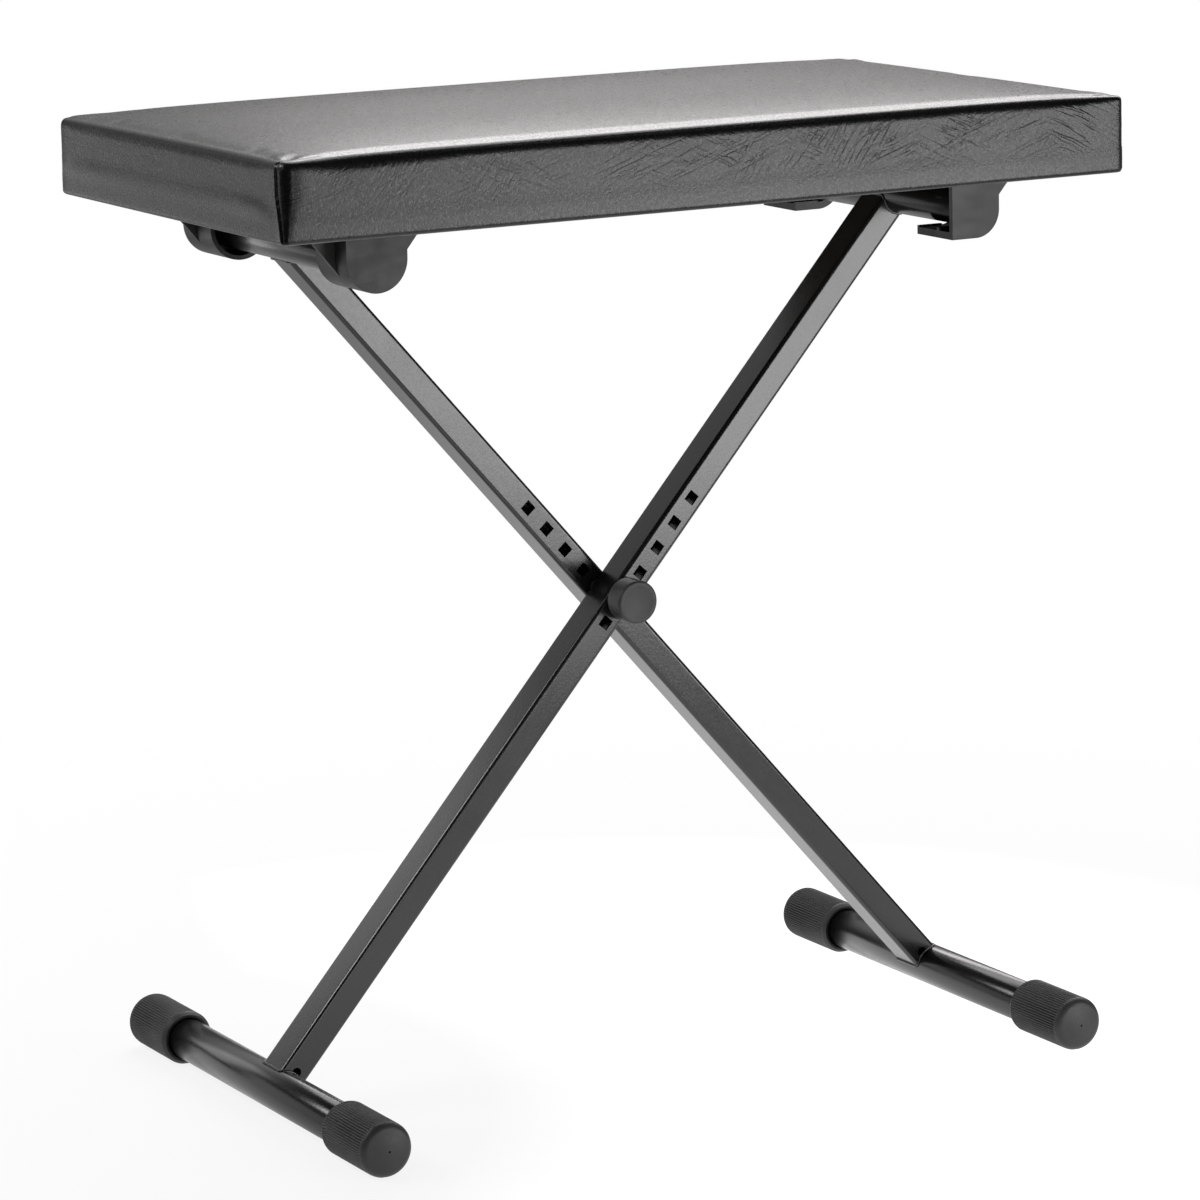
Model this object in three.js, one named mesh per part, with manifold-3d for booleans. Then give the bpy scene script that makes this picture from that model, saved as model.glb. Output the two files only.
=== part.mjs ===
// A folding bench for a keyboard player: two crossed legs of steel tube under a padded seat.
// The rear leg turns in two closed brackets under the seat. The front leg's top tube sits in two
// open hooks and slides out of them towards the middle when the bench is folded. A bolt with a
// clamping knob joins the legs through one of six square holes, which sets the seat's height.
// Millimetres, +X to the right along the seat, +Y to the back, +Z up, origin on the floor.

import * as THREE from 'three';
import { mergeVertices } from 'three/addons/utils/BufferGeometryUtils.js';
import Module from 'manifold-3d';

const wasm = await Module();
wasm.setup();

// Clearances that several pieces share
const seatedGap = 0.3;
const slidingGap = 0.4;
const cutOverrun = 5;

// Seat
const seatLength = 550;
const seatDepth = 306;
const coverThickness = 1.2;
const boardThickness = 12;
const foamThickness = 30.2;
const cushionCrown = 2;
const cushionDrawIn = 1.6;
const topEdgeRadius = 8;
const bottomEdgeRadius = 2;
const topCornerRadius = 6;
const bottomCornerRadius = 3;
const hemWidth = 22;

// Legs
const legLength = 659.4;
const legDepth = 25;
const legWidth = 18;
const legWall = 1.5;
const legCornerRadius = 2.5;
const spacerThickness = 1;

// Square height holes, counted from the head of each leg
const holeCount = 6;
const holeSide = 7;
const holePitch = 18.5;
const firstHoleFromHead = 228;
const holesAboveBoltCount = 4;

// Round tubes
const footBarRadius = 12.5;
const crossTubeRadius = 11.5;
const tubeWall = 1.5;
const tubeEndPlay = 0.6;
const plugHead = 1.5;
const plugLength = 12;

// Rubber foot caps
const footHalfLength = 165.6;
const capRadius = 16.5;
const capLength = 56.5;
const capEndWall = 7;
const capDome = 1.6;
const capEdgeRadius = 5.5;
const capMouthTaper = 3;
const capMouthStep = 1.1;
const capFloorFlat = 0.4;

// Vent at the foot of each leg's front face
const ventRadius = 3;
const ventAboveBar = 1.4;

// Weld beads
const weldBead = 1.6;

// Brackets under the seat
const bracketFromSeatEnd = 76.5;
const bracketFromSeatSide = 43;
const bracketDepth = 39;
const tubeBelowBoard = 20.8;
const bracketPlate = 3.5;
const bracketWall = 2.6;
const cupRadius = 19;
const cupRise = 1.3;
const flangeThickness = 3;
const flangeReach = 40;
const ribThickness = 3;
const ribFromFace = 14.5;
const ribReach = 37.5;
const ribDrop = 8.8;

// Open hooks
const hookDrop = 18.3;
const hookMouthReach = 16.3;
const hookBackReach = 16.9;
const hookCornerRadius = 16.5;
const hookWall = 4.5;
const hookLip = 0.9;
const hookLipWidth = 2.2;

// Wood screws
const screwRadius = 2;
const screwLength = 13;
const screwHeadRadius = 4;
const screwHeadHeight = 2.4;
const screwFromAxis = 30;
const screwFromFace = 7.5;

// Clamp
const boltRadius = 3;
const boltHeadRadius = 7;
const boltHeadHeight = 3;
const boltNeckSide = 6.4;
const boltTipChamfer = 0.6;
const spacerRadius = 8.5;
const washerRadius = 9;
const washerThickness = 1.2;
const knobRadius = 13.15;
const knobDepth = 17.3;
const knobEdgeRadius = 1.6;
const knobBackRadius = 11.6;
const knobBackStep = 3;
const insertRadius = 5;
const insertLength = 11;
const boltIntoKnob = 10;

// Fineness of round shapes
const roundSteps = 32;
const smallRoundSteps = 10;
const legCornerSteps = 3;

// Where the brackets sit, from the seat's edges
const bracketSpacing = seatLength - 2 * bracketFromSeatEnd;
const bracketOuter = seatDepth / 2 - bracketFromSeatSide;
const bracketInner = bracketOuter - bracketDepth;

// Where the legs stand, from the sizes above
const pivotFromHead = firstHoleFromHead + holesAboveBoltCount * holePitch;
const pivotFromFoot = legLength - pivotFromHead;
const legLean = Math.asin(bracketSpacing / 2 / pivotFromHead);
const footAxisHeight = capRadius - capFloorFlat;
const footAxisX = pivotFromFoot * Math.sin(legLean);
const pivotHeight = footAxisHeight + pivotFromFoot * Math.cos(legLean);
const headHeight = pivotHeight + pivotFromHead * Math.cos(legLean);
const headX = pivotFromHead * Math.sin(legLean);
const legInnerFace = spacerThickness / 2 + seatedGap;
const legOuterFace = legInnerFace + legDepth;

// Heights in the seat, from the board's underside
const boardBottom = headHeight + tubeBelowBoard;
const boardTop = boardBottom + boardThickness;
const foamBottom = boardTop + seatedGap;
const foamTop = foamBottom + foamThickness;
const coverInnerBottom = boardBottom - seatedGap;
const coverInnerTop = foamTop + seatedGap;
const coverBottom = coverInnerBottom - coverThickness;
const coverTop = coverInnerTop + coverThickness;

const quarterTurn = Math.PI / 2;

const bench = new THREE.Group();

// Materials, one for each mesh that asks for one
const finishes = {
  powderCoat: { color: 0x17171a, roughness: 0.42, metalness: 0.25 },
  rubber: { color: 0x1b1b1c, roughness: 0.82, metalness: 0 },
  glossPlastic: { color: 0x121213, roughness: 0.28, metalness: 0 },
  mattePlastic: { color: 0x1a1a1b, roughness: 0.55, metalness: 0 },
  leatherette: { color: 0x1c1b1b, roughness: 0.48, metalness: 0 },
  foam: { color: 0xb9ae95, roughness: 0.95, metalness: 0 },
  wood: { color: 0x8a6a46, roughness: 0.8, metalness: 0 },
  zinc: { color: 0xa9abad, roughness: 0.35, metalness: 0.9 },
  blackSteel: { color: 0x202022, roughness: 0.4, metalness: 0.8 },
  brass: { color: 0xb08d4a, roughness: 0.35, metalness: 0.9 },
};

function addPiece(name, geometry, finish, holder = bench) {
  const mesh = new THREE.Mesh(geometry, new THREE.MeshStandardMaterial(finishes[finish]));
  mesh.name = name;
  holder.add(mesh);
  return mesh;
}

// A closed geometry as a solid that can be joined and cut
function solidOf(geometry) {
  const bare = geometry.clone();
  bare.deleteAttribute('normal');
  bare.deleteAttribute('uv');
  const merged = mergeVertices(bare);
  const vertProperties = new Float32Array(merged.attributes.position.array);
  const triVerts = new Uint32Array(merged.index.array);
  return new wasm.Manifold(new wasm.Mesh({ numProp: 3, vertProperties, triVerts }));
}

function geometryOf(solid) {
  const mesh = solid.getMesh();
  const geometry = new THREE.BufferGeometry();
  geometry.setAttribute('position', new THREE.BufferAttribute(mesh.vertProperties, mesh.numProp));
  geometry.setIndex(new THREE.BufferAttribute(mesh.triVerts, 1));
  geometry.computeVertexNormals();
  return geometry;
}

function joined(solids) {
  return solids.reduce((sum, next) => sum.add(next));
}

// A box between two corners
function block(low, high) {
  const size = high.map((value, axis) => value - low[axis]);
  const middle = high.map((value, axis) => (value + low[axis]) / 2);
  return solidOf(new THREE.BoxGeometry(...size).translate(...middle));
}

// A round bar along Y, between two values of Y
function barAlongY(radius, yLow, yHigh, x, z, steps = roundSteps) {
  const bar = new THREE.CylinderGeometry(radius, radius, yHigh - yLow, steps);
  return solidOf(bar.translate(x, (yLow + yHigh) / 2, z));
}

function barAlongZ(radius, zLow, zHigh, x, y, steps = smallRoundSteps) {
  const bar = new THREE.CylinderGeometry(radius, radius, zHigh - zLow, steps).rotateX(quarterTurn);
  return solidOf(bar.translate(x, y, (zLow + zHigh) / 2));
}

// A turned shape along Y from pairs of radius and Y
function turnedAlongY(profile, steps = roundSteps) {
  return new THREE.LatheGeometry(profile.map(([r, y]) => new THREE.Vector2(r, y)), steps);
}

function ringAlongY(inner, outer, yLow, yHigh) {
  return turnedAlongY([[inner, yLow], [outer, yLow], [outer, yHigh], [inner, yHigh], [inner, yLow]]);
}

// A profile in X and Z, as thick as the stretch of depth from near to far, on the front (side -1)
// or the rear (side +1) of the bench
function slab(shape, near, far, side) {
  const geometry = new THREE.ExtrudeGeometry(shape, {
    depth: far - near,
    bevelEnabled: false,
    curveSegments: roundSteps / 2,
  });
  geometry.rotateX(quarterTurn);
  geometry.translate(0, side > 0 ? far : -near, 0);
  return solidOf(geometry);
}

function outline(points) {
  return new THREE.Shape(points.map(([x, z]) => new THREE.Vector2(x, z)));
}

// Soft rings of the cushion

// The points of a rounded rectangle whose long sides are drawn in between the corners
function cushionRing(inset, height, cornerRadius, drawIn) {
  const halfLength = seatLength / 2 - inset;
  const halfDepth = seatDepth / 2 - inset;
  const radius = Math.min(cornerRadius, halfLength, halfDepth);
  const cornerSteps = 4;
  const longSteps = 9;
  const shortSteps = 5;
  const points = [];
  const corners = [
    { sx: 1, sy: 1, steps: longSteps },
    { sx: -1, sy: 1, steps: shortSteps },
    { sx: -1, sy: -1, steps: longSteps },
    { sx: 1, sy: -1, steps: shortSteps },
  ];
  corners.forEach(({ sx, sy, steps }, index) => {
    const centre = new THREE.Vector2(sx * (halfLength - radius), sy * (halfDepth - radius));
    for (let step = 0; step <= cornerSteps; step += 1) {
      const angle = (index + step / cornerSteps) * quarterTurn;
      points.push(new THREE.Vector2(Math.cos(angle), Math.sin(angle)).multiplyScalar(radius).add(centre));
    }
    const start = points[points.length - 1].clone();
    const next = corners[(index + 1) % corners.length];
    const nextAngle = (index + 1) * quarterTurn;
    const end = new THREE.Vector2(Math.cos(nextAngle), Math.sin(nextAngle)).multiplyScalar(radius);
    end.add(new THREE.Vector2(next.sx * (halfLength - radius), next.sy * (halfDepth - radius)));
    const inward = new THREE.Vector2(-Math.cos(nextAngle), -Math.sin(nextAngle));
    for (let step = 1; step < steps; step += 1) {
      const share = step / steps;
      const pull = drawIn * Math.sin(Math.PI * share);
      points.push(start.clone().lerp(end, share).addScaledVector(inward, pull));
    }
  });
  return points.map((point) => new THREE.Vector3(point.x, point.y, height));
}

// Rings joined one to the next, with a fan over the first and the last
function loft(rings) {
  const positions = [];
  const triangles = [];
  const count = rings[0].length;
  rings.flat().forEach((point) => positions.push(point.x, point.y, point.z));
  for (let ring = 0; ring < rings.length - 1; ring += 1) {
    for (let step = 0; step < count; step += 1) {
      const a = ring * count + step;
      const b = ring * count + ((step + 1) % count);
      triangles.push(a, b, b + count, a, b + count, a + count);
    }
  }
  const addFan = (ring, upward) => {
    const centre = positions.length / 3;
    positions.push(0, 0, rings[ring][0].z);
    for (let step = 0; step < count; step += 1) {
      const a = ring * count + step;
      const b = ring * count + ((step + 1) % count);
      triangles.push(...(upward ? [centre, a, b] : [centre, b, a]));
    }
  };
  addFan(0, false);
  addFan(rings.length - 1, true);
  const geometry = new THREE.BufferGeometry();
  geometry.setAttribute('position', new THREE.Float32BufferAttribute(positions, 3));
  geometry.setIndex(triangles);
  geometry.computeVertexNormals();
  return geometry;
}

// The cushion's form, taken in by an inset all round, between two heights. Its sides are upright
// round the board, and above it they draw in. The top crowns from its edge inwards, and its
// middle is flat.
const edgeArcShares = [0.3, 0.62, 0.87, 1];
const crownInsetShares = [0.06, 0.2, 0.45, 0.75];
const lastCrownShare = crownInsetShares.at(-1);

function softShare(height) {
  return THREE.MathUtils.clamp((height - foamBottom) / (coverTop - topEdgeRadius - foamBottom), 0, 1);
}

function sideRing(inset, height) {
  const share = softShare(height);
  const corner = THREE.MathUtils.lerp(bottomCornerRadius, topCornerRadius, share);
  return cushionRing(inset, height, corner, cushionDrawIn * share);
}

function cushionForm(inset, low, high, footRadius) {
  const edgeRadius = topEdgeRadius - inset;
  const sideHigh = high - edgeRadius;
  const rings = [];
  if (footRadius > 0) {
    rings.push(cushionRing(inset + footRadius, low, bottomCornerRadius, 0));
  }
  if (low + footRadius < foamBottom) {
    rings.push(sideRing(inset, low + footRadius));
  }
  rings.push(sideRing(inset, foamBottom));
  rings.push(sideRing(inset, (foamBottom + sideHigh) / 2));
  rings.push(sideRing(inset, sideHigh));
  edgeArcShares.forEach((share) => {
    const angle = share * quarterTurn;
    const edgeInset = edgeRadius * (1 - Math.cos(angle));
    const rise = edgeRadius * Math.sin(angle);
    rings.push(cushionRing(inset + edgeInset, sideHigh + rise, topCornerRadius, cushionDrawIn));
  });
  const halfDepth = seatDepth / 2 - inset - edgeRadius;
  crownInsetShares.forEach((share) => {
    const rise = (cushionCrown * (1 - (1 - share) ** 2)) / (1 - (1 - lastCrownShare) ** 2);
    const crownInset = inset + edgeRadius + halfDepth * share;
    rings.push(cushionRing(crownInset, high + rise, topCornerRadius, cushionDrawIn * (1 - share)));
  });
  return loft(rings);
}

// A flat panel with the cushion's lower corners
function panel(inset, low, high) {
  return loft([low, high].map((height) => cushionRing(inset, height, bottomCornerRadius, 0)));
}

// Seat

const bracketSites = [
  { name: 'front_hinge_bracket', x: -headX, side: -1, open: false },
  { name: 'rear_hinge_bracket', x: -headX, side: 1, open: false },
  { name: 'front_hook_bracket', x: headX, side: -1, open: true },
  { name: 'rear_hook_bracket', x: headX, side: 1, open: true },
];

function screwPlaces(site) {
  const places = [];
  [-1, 1].forEach((across) => {
    [bracketInner + screwFromFace, bracketOuter - screwFromFace].forEach((depth) => {
      places.push([site.x + across * screwFromAxis, site.side * depth]);
    });
  });
  return places;
}

const allScrewPlaces = bracketSites.flatMap(screwPlaces);
const flangeTop = boardBottom - seatedGap;
const flangeBottom = flangeTop - flangeThickness;
const screwSeat = flangeBottom - seatedGap;
const screwTip = screwSeat + screwLength;

function makeSeatBoard() {
  const pilots = allScrewPlaces.map(([x, y]) =>
    barAlongZ(screwRadius + seatedGap, boardBottom - cutOverrun, screwTip + seatedGap, x, y));
  const board = solidOf(panel(coverThickness + seatedGap, boardBottom, boardTop));
  addPiece('seat_board', geometryOf(board.subtract(joined(pilots))), 'wood');
}

function makeFoamCore() {
  addPiece('foam_core', cushionForm(coverThickness + seatedGap, foamBottom, foamTop, 0), 'foam');
}

function makeSeatCover() {
  const outer = solidOf(cushionForm(0, coverBottom, coverTop, bottomEdgeRadius));
  const inner = solidOf(cushionForm(coverThickness, coverInnerBottom, coverInnerTop, 0));
  const window = solidOf(panel(hemWidth, coverBottom - cutOverrun, coverInnerBottom + bottomEdgeRadius));
  addPiece('seat_cover', geometryOf(outer.subtract(inner).subtract(window)), 'leatherette');
}

// Brackets are drawn round the axis of their tube, then put in place.
// Their heights are measured from that axis.
const flangeTopFromAxis = flangeTop - headHeight;
const flangeBottomFromAxis = flangeBottom - headHeight;

function cupShape(radius, rise, top) {
  const shape = new THREE.Shape();
  shape.moveTo(-radius, top);
  shape.lineTo(-radius, rise);
  shape.absarc(0, rise, radius, Math.PI, 2 * Math.PI, false);
  shape.lineTo(radius, top);
  return shape;
}

function hookShape(wall) {
  const corner = hookCornerRadius - wall;
  const centreX = hookBackReach - hookCornerRadius;
  const centreZ = hookCornerRadius - hookDrop;
  const mouth = wall > 0 ? -hookMouthReach - cutOverrun : -hookMouthReach;
  const top = wall > 0 ? flangeTopFromAxis + cutOverrun : flangeBottomFromAxis + flangeThickness / 2;
  const shape = new THREE.Shape();
  shape.moveTo(mouth, top);
  shape.lineTo(mouth, centreZ - corner);
  shape.lineTo(centreX, centreZ - corner);
  shape.absarc(centreX, centreZ, corner, -quarterTurn, 0, false);
  shape.lineTo(centreX + corner, top);
  return shape;
}

// The way that the front leg's tube takes into the hook, from the middle of the bench
function throatShape(radius) {
  const shape = new THREE.Shape();
  shape.moveTo(-hookMouthReach - cutOverrun, -radius);
  shape.lineTo(0, -radius);
  shape.absarc(0, 0, radius, -quarterTurn, quarterTurn, false);
  shape.lineTo(-hookMouthReach - cutOverrun, radius);
  return shape;
}

// A gusset from the bracket's side out to the edge of its flange
function ribShape(across, wallReach) {
  const top = flangeBottomFromAxis + flangeThickness / 2;
  return outline([
    [across * wallReach, -ribDrop],
    [across * ribReach, flangeBottomFromAxis],
    [across * ribReach, top],
    [0, top],
  ]);
}

function hookLipBlock(side) {
  const floor = hookWall - hookDrop;
  const near = side * bracketInner;
  const far = side * (bracketInner + hookLipWidth);
  return block(
    [-hookMouthReach, Math.min(near, far), floor - hookWall / 2],
    [0, Math.max(near, far), floor + hookLip],
  );
}

function makeBracket({ name, x, side, open }) {
  const outerTop = flangeBottomFromAxis + flangeThickness / 2;
  const cutTop = flangeTopFromAxis + cutOverrun;
  const outerShape = open ? hookShape(0) : cupShape(cupRadius, cupRise, outerTop);
  const innerShape = open ? hookShape(hookWall) : cupShape(cupRadius - bracketWall, cupRise, cutTop);
  const plateFace = bracketOuter - bracketPlate;
  const ribFar = bracketOuter - ribFromFace;
  const ribNear = ribFar - ribThickness;
  const throat = crossTubeRadius + slidingGap;
  const throatPath = open ? throatShape(throat) : cupShape(throat, 0, cutTop);
  const cupReach = Math.sqrt(cupRadius ** 2 - (ribDrop + cupRise) ** 2);
  const wallReach = open ? hookBackReach - hookWall / 2 : cupReach;
  const ribSides = open ? [1] : [-1, 1];

  const flange = block(
    [-flangeReach, side > 0 ? bracketInner : -bracketOuter, flangeBottomFromAxis],
    [flangeReach, side > 0 ? bracketOuter : -bracketInner, flangeTopFromAxis],
  );
  const shell = slab(outerShape, bracketInner, bracketOuter, side)
    .subtract(slab(innerShape, bracketInner - cutOverrun, plateFace, side));
  const web = slab(outerShape, ribNear, ribFar, side);
  const ribs = ribSides.map((across) => slab(ribShape(across, wallReach), ribNear, ribFar, side));
  let body = joined([shell, web, flange, ...ribs]);
  body = body.subtract(slab(throatPath, bracketInner - cutOverrun, plateFace, side));
  if (open) {
    body = body.add(hookLipBlock(side));
  }
  const holeBottom = flangeBottomFromAxis - cutOverrun;
  const screwHoles = screwPlaces({ x: 0, side }).map(([screwX, screwY]) =>
    barAlongZ(screwRadius + seatedGap, holeBottom, cutTop, screwX, screwY));
  const mesh = addPiece(name, geometryOf(body.subtract(joined(screwHoles))), 'glossPlastic');
  mesh.position.set(x, 0, headHeight);
}

// One wood screw for each hole in the flanges, its head below and its tip up in the board
function makeScrews(site) {
  const screw = turnedAlongY([
    [0, -screwHeadHeight],
    [screwHeadRadius / 2, -screwHeadHeight],
    [screwHeadRadius, -screwHeadHeight / 2],
    [screwHeadRadius, 0],
    [screwRadius, 0],
    [screwRadius, screwLength - 2 * screwRadius],
    [0, screwLength],
  ], smallRoundSteps).rotateX(quarterTurn);
  screwPlaces(site).forEach(([x, y], index) => {
    const mesh = addPiece(`${site.name}_screw_${index + 1}`, geometryOf(solidOf(screw)), 'zinc');
    mesh.position.set(x, y, screwSeat);
  });
}

// Round tubes and foot caps, all along Y

function makeRoundTube(name, radius, halfLength, x, z) {
  const tube = ringAlongY(radius - tubeWall, radius, -halfLength, halfLength);
  const mesh = addPiece(name, geometryOf(solidOf(tube)), 'powderCoat');
  mesh.position.set(x, 0, z);
}

const capArcShares = [0.33, 0.67, 1];
const capDomeShares = [0.5, 0];

function makeFootCap(name, x, side) {
  const tip = footHalfLength;
  const mouth = tip - capLength;
  const socketFloor = tip - capEndWall;
  const socketRadius = footBarRadius + seatedGap;
  const edgeStart = tip - capDome - capEdgeRadius;
  const domeRadius = capRadius - capEdgeRadius;
  const profile = [
    [0, socketFloor],
    [socketRadius, socketFloor],
    [socketRadius, mouth],
    [capRadius - capMouthStep, mouth],
    [capRadius, mouth + capMouthTaper],
    [capRadius, edgeStart],
  ];
  capArcShares.forEach((share) => {
    const angle = share * quarterTurn;
    profile.push([domeRadius + capEdgeRadius * Math.cos(angle), edgeStart + capEdgeRadius * Math.sin(angle)]);
  });
  capDomeShares.forEach((share) => {
    profile.push([domeRadius * share, tip - capDome * share ** 2]);
  });
  const cap = turnedAlongY(profile);
  if (side < 0) {
    cap.rotateX(Math.PI);
  }
  const floor = block(
    [-capRadius, side > 0 ? 0 : -tip, -capRadius - cutOverrun],
    [capRadius, side > 0 ? tip : 0, capFloorFlat - capRadius],
  );
  const mesh = addPiece(name, geometryOf(solidOf(cap).subtract(floor)), 'rubber');
  mesh.position.set(x, 0, footAxisHeight);
}

function makePlug(name, x, side, tubeEnd) {
  const plugRadius = crossTubeRadius - tubeWall - seatedGap;
  const plug = turnedAlongY([
    [0, tubeEnd - plugLength],
    [plugRadius, tubeEnd - plugLength],
    [plugRadius, tubeEnd + seatedGap],
    [crossTubeRadius - seatedGap, tubeEnd + seatedGap],
    [crossTubeRadius - seatedGap, tubeEnd + seatedGap + plugHead],
    [0, tubeEnd + seatedGap + plugHead],
  ]);
  if (side < 0) {
    plug.rotateX(Math.PI);
  }
  const mesh = addPiece(name, geometryOf(solidOf(plug)), 'mattePlastic');
  mesh.position.set(x, 0, headHeight);
}

// Legs, each drawn upright from the foot bar's axis to the cross tube's axis, then leaned over

function leaningGroup(footX, lean) {
  const group = new THREE.Group();
  group.position.set(footX, 0, footAxisHeight);
  group.rotation.y = lean;
  bench.add(group);
  return group;
}

const holeHeights = Array.from({ length: holeCount }, (_, index) =>
  legLength - firstHoleFromHead - index * holePitch);

// A bar along the leg with rounded corners, smaller than the leg by an inset all round
function legBar(inset, yLow, yHigh, zLow, zHigh) {
  const half = legWidth / 2 - inset;
  const low = yLow + inset;
  const high = yHigh - inset;
  const radius = legCornerRadius - inset;
  const shape = new THREE.Shape();
  shape.moveTo(half, low + radius);
  shape.absarc(half - radius, high - radius, radius, 0, quarterTurn, false);
  shape.absarc(radius - half, high - radius, radius, quarterTurn, 2 * quarterTurn, false);
  shape.absarc(radius - half, low + radius, radius, 2 * quarterTurn, 3 * quarterTurn, false);
  shape.absarc(half - radius, low + radius, radius, 3 * quarterTurn, 4 * quarterTurn, false);
  const depth = zHigh - zLow;
  const bar = new THREE.ExtrudeGeometry(shape, { depth, bevelEnabled: false, curveSegments: legCornerSteps });
  return solidOf(bar.translate(0, 0, zLow));
}

function makeLegTube(name, yLow, yHigh, holder) {
  const outside = legBar(0, yLow, yHigh, 0, legLength);
  const inside = legBar(legWall, yLow, yHigh, -cutOverrun, legLength + cutOverrun);
  const footSeat = barAlongY(footBarRadius + seatedGap, yLow - cutOverrun, yHigh + cutOverrun, 0, 0);
  const headSeat = barAlongY(crossTubeRadius + seatedGap, yLow - cutOverrun, yHigh + cutOverrun, 0, legLength);
  const holes = holeHeights.map((height) => block(
    [-holeSide / 2, yLow - cutOverrun, height - holeSide / 2],
    [holeSide / 2, yHigh + cutOverrun, height + holeSide / 2],
  ));
  const ventHeight = footBarRadius + ventAboveBar;
  const wallMiddle = yLow + legWall + legWall / 2;
  const vent = barAlongY(ventRadius, yLow - cutOverrun, wallMiddle, 0, ventHeight, smallRoundSteps);
  const leg = outside.subtract(joined([inside, footSeat, headSeat, vent, ...holes]));
  addPiece(name, geometryOf(leg), 'powderCoat', holder);
}

// A bead all round the leg's end, on the tube that it stands against
function makeWeld(name, yLow, yHigh, tubeRadius, height, holder) {
  const reach = legWidth / 2 + weldBead;
  const past = legWidth / 2 + seatedGap;
  const inward = height > 0 ? -1 : 1;
  const seat = tubeRadius + seatedGap;
  const ends = [height, height + inward * (tubeRadius + cutOverrun)];
  const low = Math.min(...ends);
  const high = Math.max(...ends);
  const ring = barAlongY(seat + weldBead, yLow - weldBead, yHigh + weldBead, 0, height)
    .subtract(barAlongY(seat, yLow - weldBead - cutOverrun, yHigh + weldBead + cutOverrun, 0, height));
  const around = block([-reach, yLow - weldBead, low], [reach, yHigh + weldBead, high]);
  const leg = block([-past, yLow - seatedGap, low - cutOverrun], [past, yHigh + seatedGap, high + cutOverrun]);
  addPiece(name, geometryOf(ring.intersect(around).subtract(leg)), 'powderCoat', holder);
}

function makeLeg(name, footX, lean, yLow, yHigh) {
  const group = leaningGroup(footX, lean);
  makeLegTube(`${name}_leg_tube`, yLow, yHigh, group);
  makeWeld(`${name}_leg_foot_weld`, yLow, yHigh, footBarRadius, 0, group);
  makeWeld(`${name}_leg_head_weld`, yLow, yHigh, crossTubeRadius, legLength, group);
  return group;
}

// Clamp, along Y through the hole in use

const washerBack = -legOuterFace - seatedGap;
const washerFront = washerBack - washerThickness;
const knobBack = washerFront - seatedGap;
const knobFront = knobBack - knobDepth;

const boltDomeRadiusShare = 0.7;
const boltDomeHeightShare = 0.8;

function makeBolt(holder) {
  const tip = knobBack - boltIntoKnob;
  const headSeat = legOuterFace + seatedGap;
  const bolt = solidOf(turnedAlongY([
    [0, tip],
    [boltRadius - boltTipChamfer, tip],
    [boltRadius, tip + boltTipChamfer],
    [boltRadius, headSeat],
    [boltHeadRadius, headSeat],
    [boltHeadRadius, headSeat + boltHeadHeight / 4],
    [boltHeadRadius * boltDomeRadiusShare, headSeat + boltHeadHeight * boltDomeHeightShare],
    [0, headSeat + boltHeadHeight],
  ], roundSteps));
  const half = boltNeckSide / 2;
  const neckStart = legOuterFace - legWall - boltTipChamfer;
  const neck = block([-half, neckStart, -half], [half, headSeat + boltTipChamfer, half]);
  const mesh = addPiece('pivot_bolt', geometryOf(bolt.add(neck)), 'blackSteel', holder);
  mesh.position.z = pivotFromFoot;
}

function makeSpacer(holder) {
  const ring = ringAlongY(boltRadius + seatedGap, spacerRadius, -spacerThickness / 2, spacerThickness / 2);
  const mesh = addPiece('leg_spacer', geometryOf(solidOf(ring)), 'mattePlastic', holder);
  mesh.position.z = pivotFromFoot;
}

// How far a round edge's middle stands in from the corner that it rounds off
const halfwayShare = 1 - Math.SQRT1_2;

function makeKnob() {
  const pocketRadius = insertRadius + seatedGap;
  const pocketFloor = knobBack - insertLength - seatedGap;
  const knob = turnedAlongY([
    [0, knobFront],
    [knobRadius - knobEdgeRadius, knobFront],
    [knobRadius - knobEdgeRadius * halfwayShare, knobFront + knobEdgeRadius * halfwayShare],
    [knobRadius, knobFront + knobEdgeRadius],
    [knobRadius, knobBack - knobBackStep],
    [knobBackRadius, knobBack - knobBackStep],
    [knobBackRadius, knobBack],
    [pocketRadius, knobBack],
    [pocketRadius, pocketFloor],
    [0, pocketFloor],
  ]);
  const insert = ringAlongY(boltRadius + seatedGap, insertRadius, knobBack - insertLength, knobBack);
  const washer = ringAlongY(boltRadius + seatedGap, washerRadius, washerFront, washerBack);
  const pieces = [
    ['clamping_knob', knob, 'mattePlastic'],
    ['knob_insert', insert, 'brass'],
    ['clamp_washer', washer, 'zinc'],
  ];
  pieces.forEach(([name, geometry, finish]) => {
    const mesh = addPiece(name, geometryOf(solidOf(geometry)), finish);
    mesh.position.z = pivotHeight;
  });
}

// The whole bench

bracketSites.forEach(makeBracket);
bracketSites.forEach(makeScrews);
makeSeatBoard();
makeFoamCore();
makeSeatCover();

const rearLeg = makeLeg('rear', footAxisX, -legLean, legInnerFace, legOuterFace);
makeLeg('front', -footAxisX, legLean, -legOuterFace, -legInnerFace);
makeBolt(rearLeg);
makeSpacer(rearLeg);
makeKnob();

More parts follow.
